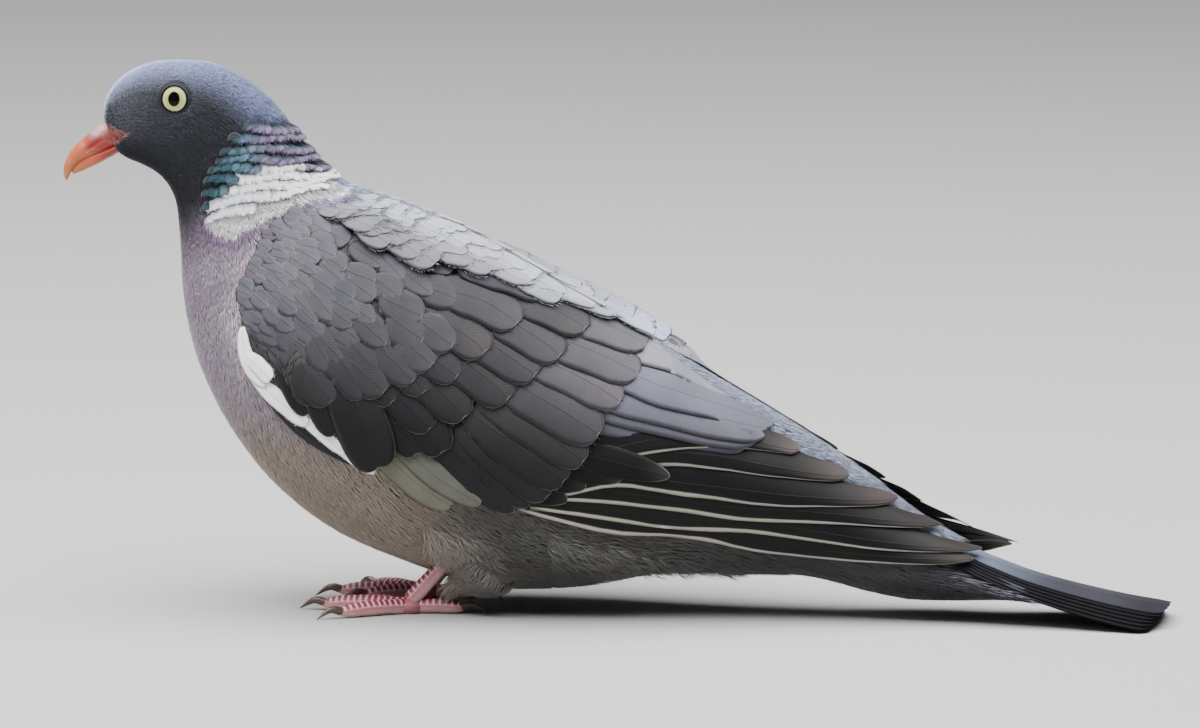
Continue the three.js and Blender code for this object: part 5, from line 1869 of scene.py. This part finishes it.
# ---------------------------------------------------------------- legs and feet

TARSUS = {"top": (-48.0, 17.9, 22.0), "bottom": (-64.0, 17.0, 4.4)}
TARSUS_RADII = [2.4, 2.3, 2.35, 2.5, 2.5]
FOOT = {"x": -64.5, "y": 17.0, "pad": (4.4, 3.9, 2.9), "pad_height": 2.2}
TOES = {
    "inner": {"heading": -27, "length": 22, "radius": 2.4},
    "middle": {"heading": -4, "length": 29, "radius": 2.6},
    "outer": {"heading": 37, "length": 26, "radius": 2.4},
    "hind": {"heading": 184, "length": 18, "radius": 2.3},
}
CLAW = {"length": 8.0, "radius": 1.35, "drop": 1.9}
SCUTE = 2.0
SCUTE_RED = colour(132, 44, 66)
SCUTE_EDGE = colour(226, 190, 196)
SOLE_PINK = colour(204, 164, 160)
FOOT_PINK = colour(186, 112, 120)
CLAW_DARK = colour(46, 38, 36)
CLAW_PALE = colour(104, 84, 74)
TOE_SHARES = [1, 0.92, 0.9, 0.95, 0.9, 0.8, 0.42]  # radii along a toe, as shares of its radius
CLAW_SHARES = [0.95, 0.95, 0.82, 0.6, 0.35, 0.08]


def toe_line(toe, side):
    """A toe's direction, and its start and end, where its sole touches the floor."""
    turn = math.radians(toe["heading"])
    heading = np.array([-math.cos(turn), side * math.sin(turn), 0.0])
    start = np.array([FOOT["x"], side * FOOT["y"], toe["radius"] * 0.95])
    end = np.array([FOOT["x"], side * FOOT["y"], toe["radius"] * 0.86]) + heading * toe["length"]
    return heading, start, end


def tube_place(points, radii, knuckles=0):
    """A round limb through points, with plates across its upper side and pads below, kept above
    the floor. Gives its places, its middle line and its length."""
    fine = along_line(points, 120)
    length = run_along(fine)[-1]
    radii = np.array(radii, float)[:, None]

    def place(s, r):
        at = s * (len(fine) - 1)
        heading = unit(smooth_rows(fine, at + 0.5) - smooth_rows(fine, at - 0.5))
        level = unit(np.cross(heading, (0, 0, 1.0)))
        upward = np.cross(level, heading)
        turn = (r * 2 - 1) * np.pi
        phase = (s * length / SCUTE) % 1
        plate = 0.10 * (1 - (2 * phase - 1) ** 6) * smoothstep(-0.1, 0.5, np.cos(turn))
        pad = 0.10 * np.abs(np.sin(np.pi * s * knuckles)) * np.clip(-np.cos(turn), 0, 1)
        grain = 0.02 * np.sin(40 * turn) * np.sin(s * length * 6) * (np.cos(turn) < 0)
        radius = smooth_rows(radii, s * (len(radii) - 1))[:, 0] * (1 + plate + pad + grain)
        out = level * np.sin(turn)[:, None] + upward * np.cos(turn)[:, None]
        made = smooth_rows(fine, at) + out * radius[:, None]
        made[:, 2] = np.maximum(made[:, 2], 0.0)
        return made

    return place, fine, length


def scute_colour(fine, length):
    """Red plates with pale seams above, pink soles below."""
    way = np.linspace(0, length, len(fine))
    headings = unit(np.gradient(fine, axis=0))

    def tint(points):
        k = np.linalg.norm(points[:, None] - fine[None], axis=-1).argmin(1)
        heading = headings[k]
        off = points - fine[k]
        upward = np.cross(unit(np.cross(heading, (0, 0, 1.0))), heading)
        height = np.sum(off * upward, -1) / np.maximum(np.linalg.norm(off, axis=-1), 1e-6)
        phase = ((way[k] + np.sum(off * heading, -1)) / SCUTE) % 1
        seam = smoothstep(0.24, 0.08, np.minimum(phase, 1 - phase))
        return layered(
            SOLE_PINK,
            (FOOT_PINK, smoothstep(-0.6, 0.1, height)),
            (blend(SCUTE_RED, SCUTE_EDGE, seam * 0.9), smoothstep(0.2, 0.42, height)),
            (SCUTE_EDGE, np.exp(-(((height - 0.3) / 0.1) ** 2)) * 0.6),
        )

    return tint


def scuted_limb(name, rings, line, radii, skin, knuckles=0):
    place, fine, length = tube_place(line, radii, knuckles)
    return wrapped_sheet(name, rings, 36, place, [skin], tint=scute_colour(fine, length))


def make_claw(name, end, heading, horn):
    """A claw that starts inside the toe's end and curves down to the floor."""
    root = end - heading * 1.6
    knee = root + heading * CLAW["length"] * 0.55 + (0, 0, 0.9)
    tip = root + heading * (CLAW["length"] + 1.4) - (0, 0, CLAW["drop"])
    tip[2] = max(tip[2], 0.12)
    place = tube_place([root, knee, tip], [CLAW["radius"] * share for share in CLAW_SHARES])[0]
    settle(wrapped_sheet("nail_" + name, 30, 24, place, [horn]), "claw_horn", "claw_" + name)


def make_pad(word, side, skin):
    """The ball of the foot, in the middle of the toes."""
    ball = bmesh.new()
    bmesh.ops.create_uvsphere(ball, u_segments=40, v_segments=24, radius=1.0)
    for vertex in ball.verts:
        x, y, z = (a * b for a, b in zip(vertex.co, FOOT["pad"]))
        height = max(0.0, FOOT["pad_height"] + z)
        vertex.co = Vector((FOOT["x"] + x, side * FOOT["y"] + y, height)) * MM
    piece = closed_piece("foot_pad_" + word, ball, [skin])
    tint_vertices(piece.data, FOOT_PINK * 0.75)
    return piece


def make_feet():
    paint = Paint("foot_skin", Roughness=0.5, Subsurface_Weight=0.1, Subsurface_Scale=0.001)
    tint = paint.scaled(paint.shade(), paint.noise(1500, 3) * 0.5 + 0.75)
    skin = paint.finish(tint, height=paint.noise(2400, 3), relief=0.00012)
    paint = Paint("claw_horn", Roughness=0.35)
    tint = paint.mix(paint.noise(700, 3), CLAW_DARK, CLAW_PALE)
    horn = paint.finish(tint, height=paint.noise(900, 2), relief=0.00005)
    for word, side in SIDES:
        top, bottom = on_side(TARSUS["top"], side), on_side(TARSUS["bottom"], side)
        shank = scuted_limb("shank_" + word, 84, [top, lerp(top, bottom, 0.5), bottom], TARSUS_RADII, skin)
        settle(shank, "foot_skin", "tarsus_" + word)
        toes = []
        for toe_name, toe in TOES.items():
            heading, start, end = toe_line(toe, side)
            line = [start, lerp(start, end, 0.5) + (0, 0, 0.5), end]
            radii = [toe["radius"] * share for share in TOE_SHARES]
            name, rings = toe_name + "_" + word, int(toe["length"] * 4)
            knuckles = 3 if toe["length"] > 20 else 2
            toes.append(scuted_limb("toe_" + name, rings, line, radii, skin, knuckles))
            make_claw(name, end, heading, horn)
        piece = make_pad(word, side, skin)
        join_pieces(piece, toes)
        piece.name = "foot_toes_" + word
        settle(piece, "foot_skin", "foot_" + word)


# ---------------------------------------------------------------- stage, light and camera

FLOOR_GREY = (0.42, 0.42, 0.415)
SKY = {"colour": (0.93, 0.96, 1.0, 1), "strength": 0.1}
LAMPS = (
    # name, place and width in metres, power in watts
    ("sky_light", (-0.05, -0.2, 1.6), 2.4, 150),
    ("front_light", (-1.3, -1.1, 1.3), 1.2, 12),
)
LAMP_AIM = (0, 0, 0.08)


def make_stage():
    paint = Paint("pale_floor", Roughness=0.9)
    sheet = bmesh.new()
    bmesh.ops.create_grid(sheet, x_segments=1, y_segments=1, size=6.0)
    mesh = bpy.data.meshes.new("floor")
    sheet.to_mesh(mesh)
    sheet.free()
    floor = new_piece("floor", mesh, [paint.finish(rgba(FLOOR_GREY))])
    world = bpy.data.worlds.new("studio")
    world.use_nodes = True
    sky = world.node_tree.nodes["Background"]
    sky.inputs["Color"].default_value = SKY["colour"]
    sky.inputs["Strength"].default_value = SKY["strength"]
    bpy.context.scene.world = world
    for name, place, size, power in LAMPS:
        light = bpy.data.lights.new(name, "AREA")
        light.size = size
        light.energy = power
        lamp = bpy.data.objects.new(name, light)
        lamp.location = place
        lamp.rotation_euler = (Vector(LAMP_AIM) - Vector(place)).to_track_quat("-Z", "Y").to_euler()
        bpy.context.scene.collection.objects.link(lamp)


# angles in degrees, distance and the width of the view in metres, aim and sensor in millimetres
CAMERA = {"azimuth": 9, "elevation": 7.5, "distance": 4.5, "aim": (-4.55, 79.95), "width": 0.39}
SENSOR = 36


def make_camera():
    """A long lens on the bird's left side, a little above it and towards its tail."""
    azimuth, elevation = math.radians(CAMERA["azimuth"]), math.radians(CAMERA["elevation"])
    distance, low = CAMERA["distance"], math.sin(elevation)
    right = Vector((math.cos(azimuth), math.sin(azimuth), 0))
    up = Vector((-math.sin(azimuth) * low, math.cos(azimuth) * low, math.cos(elevation)))
    away = right.cross(up)
    aim = right * CAMERA["aim"][0] * MM + up * CAMERA["aim"][1] * MM
    data = bpy.data.cameras.new("camera")
    data.lens = SENSOR * distance / CAMERA["width"]
    data.sensor_width = SENSOR
    data.clip_start, data.clip_end = 0.1, 50
    camera = bpy.data.objects.new("camera", data)
    camera.location = aim + away * distance
    camera.rotation_euler = (-away).to_track_quat("-Z", "Y").to_euler()
    bpy.context.scene.collection.objects.link(camera)
    bpy.context.scene.camera = camera


make_camera()
make_stage()
make_skin()
make_coat()
make_leg_wisps()
make_furrows()
make_wings()
make_tail()
make_bill()
make_eyes()
make_feet()
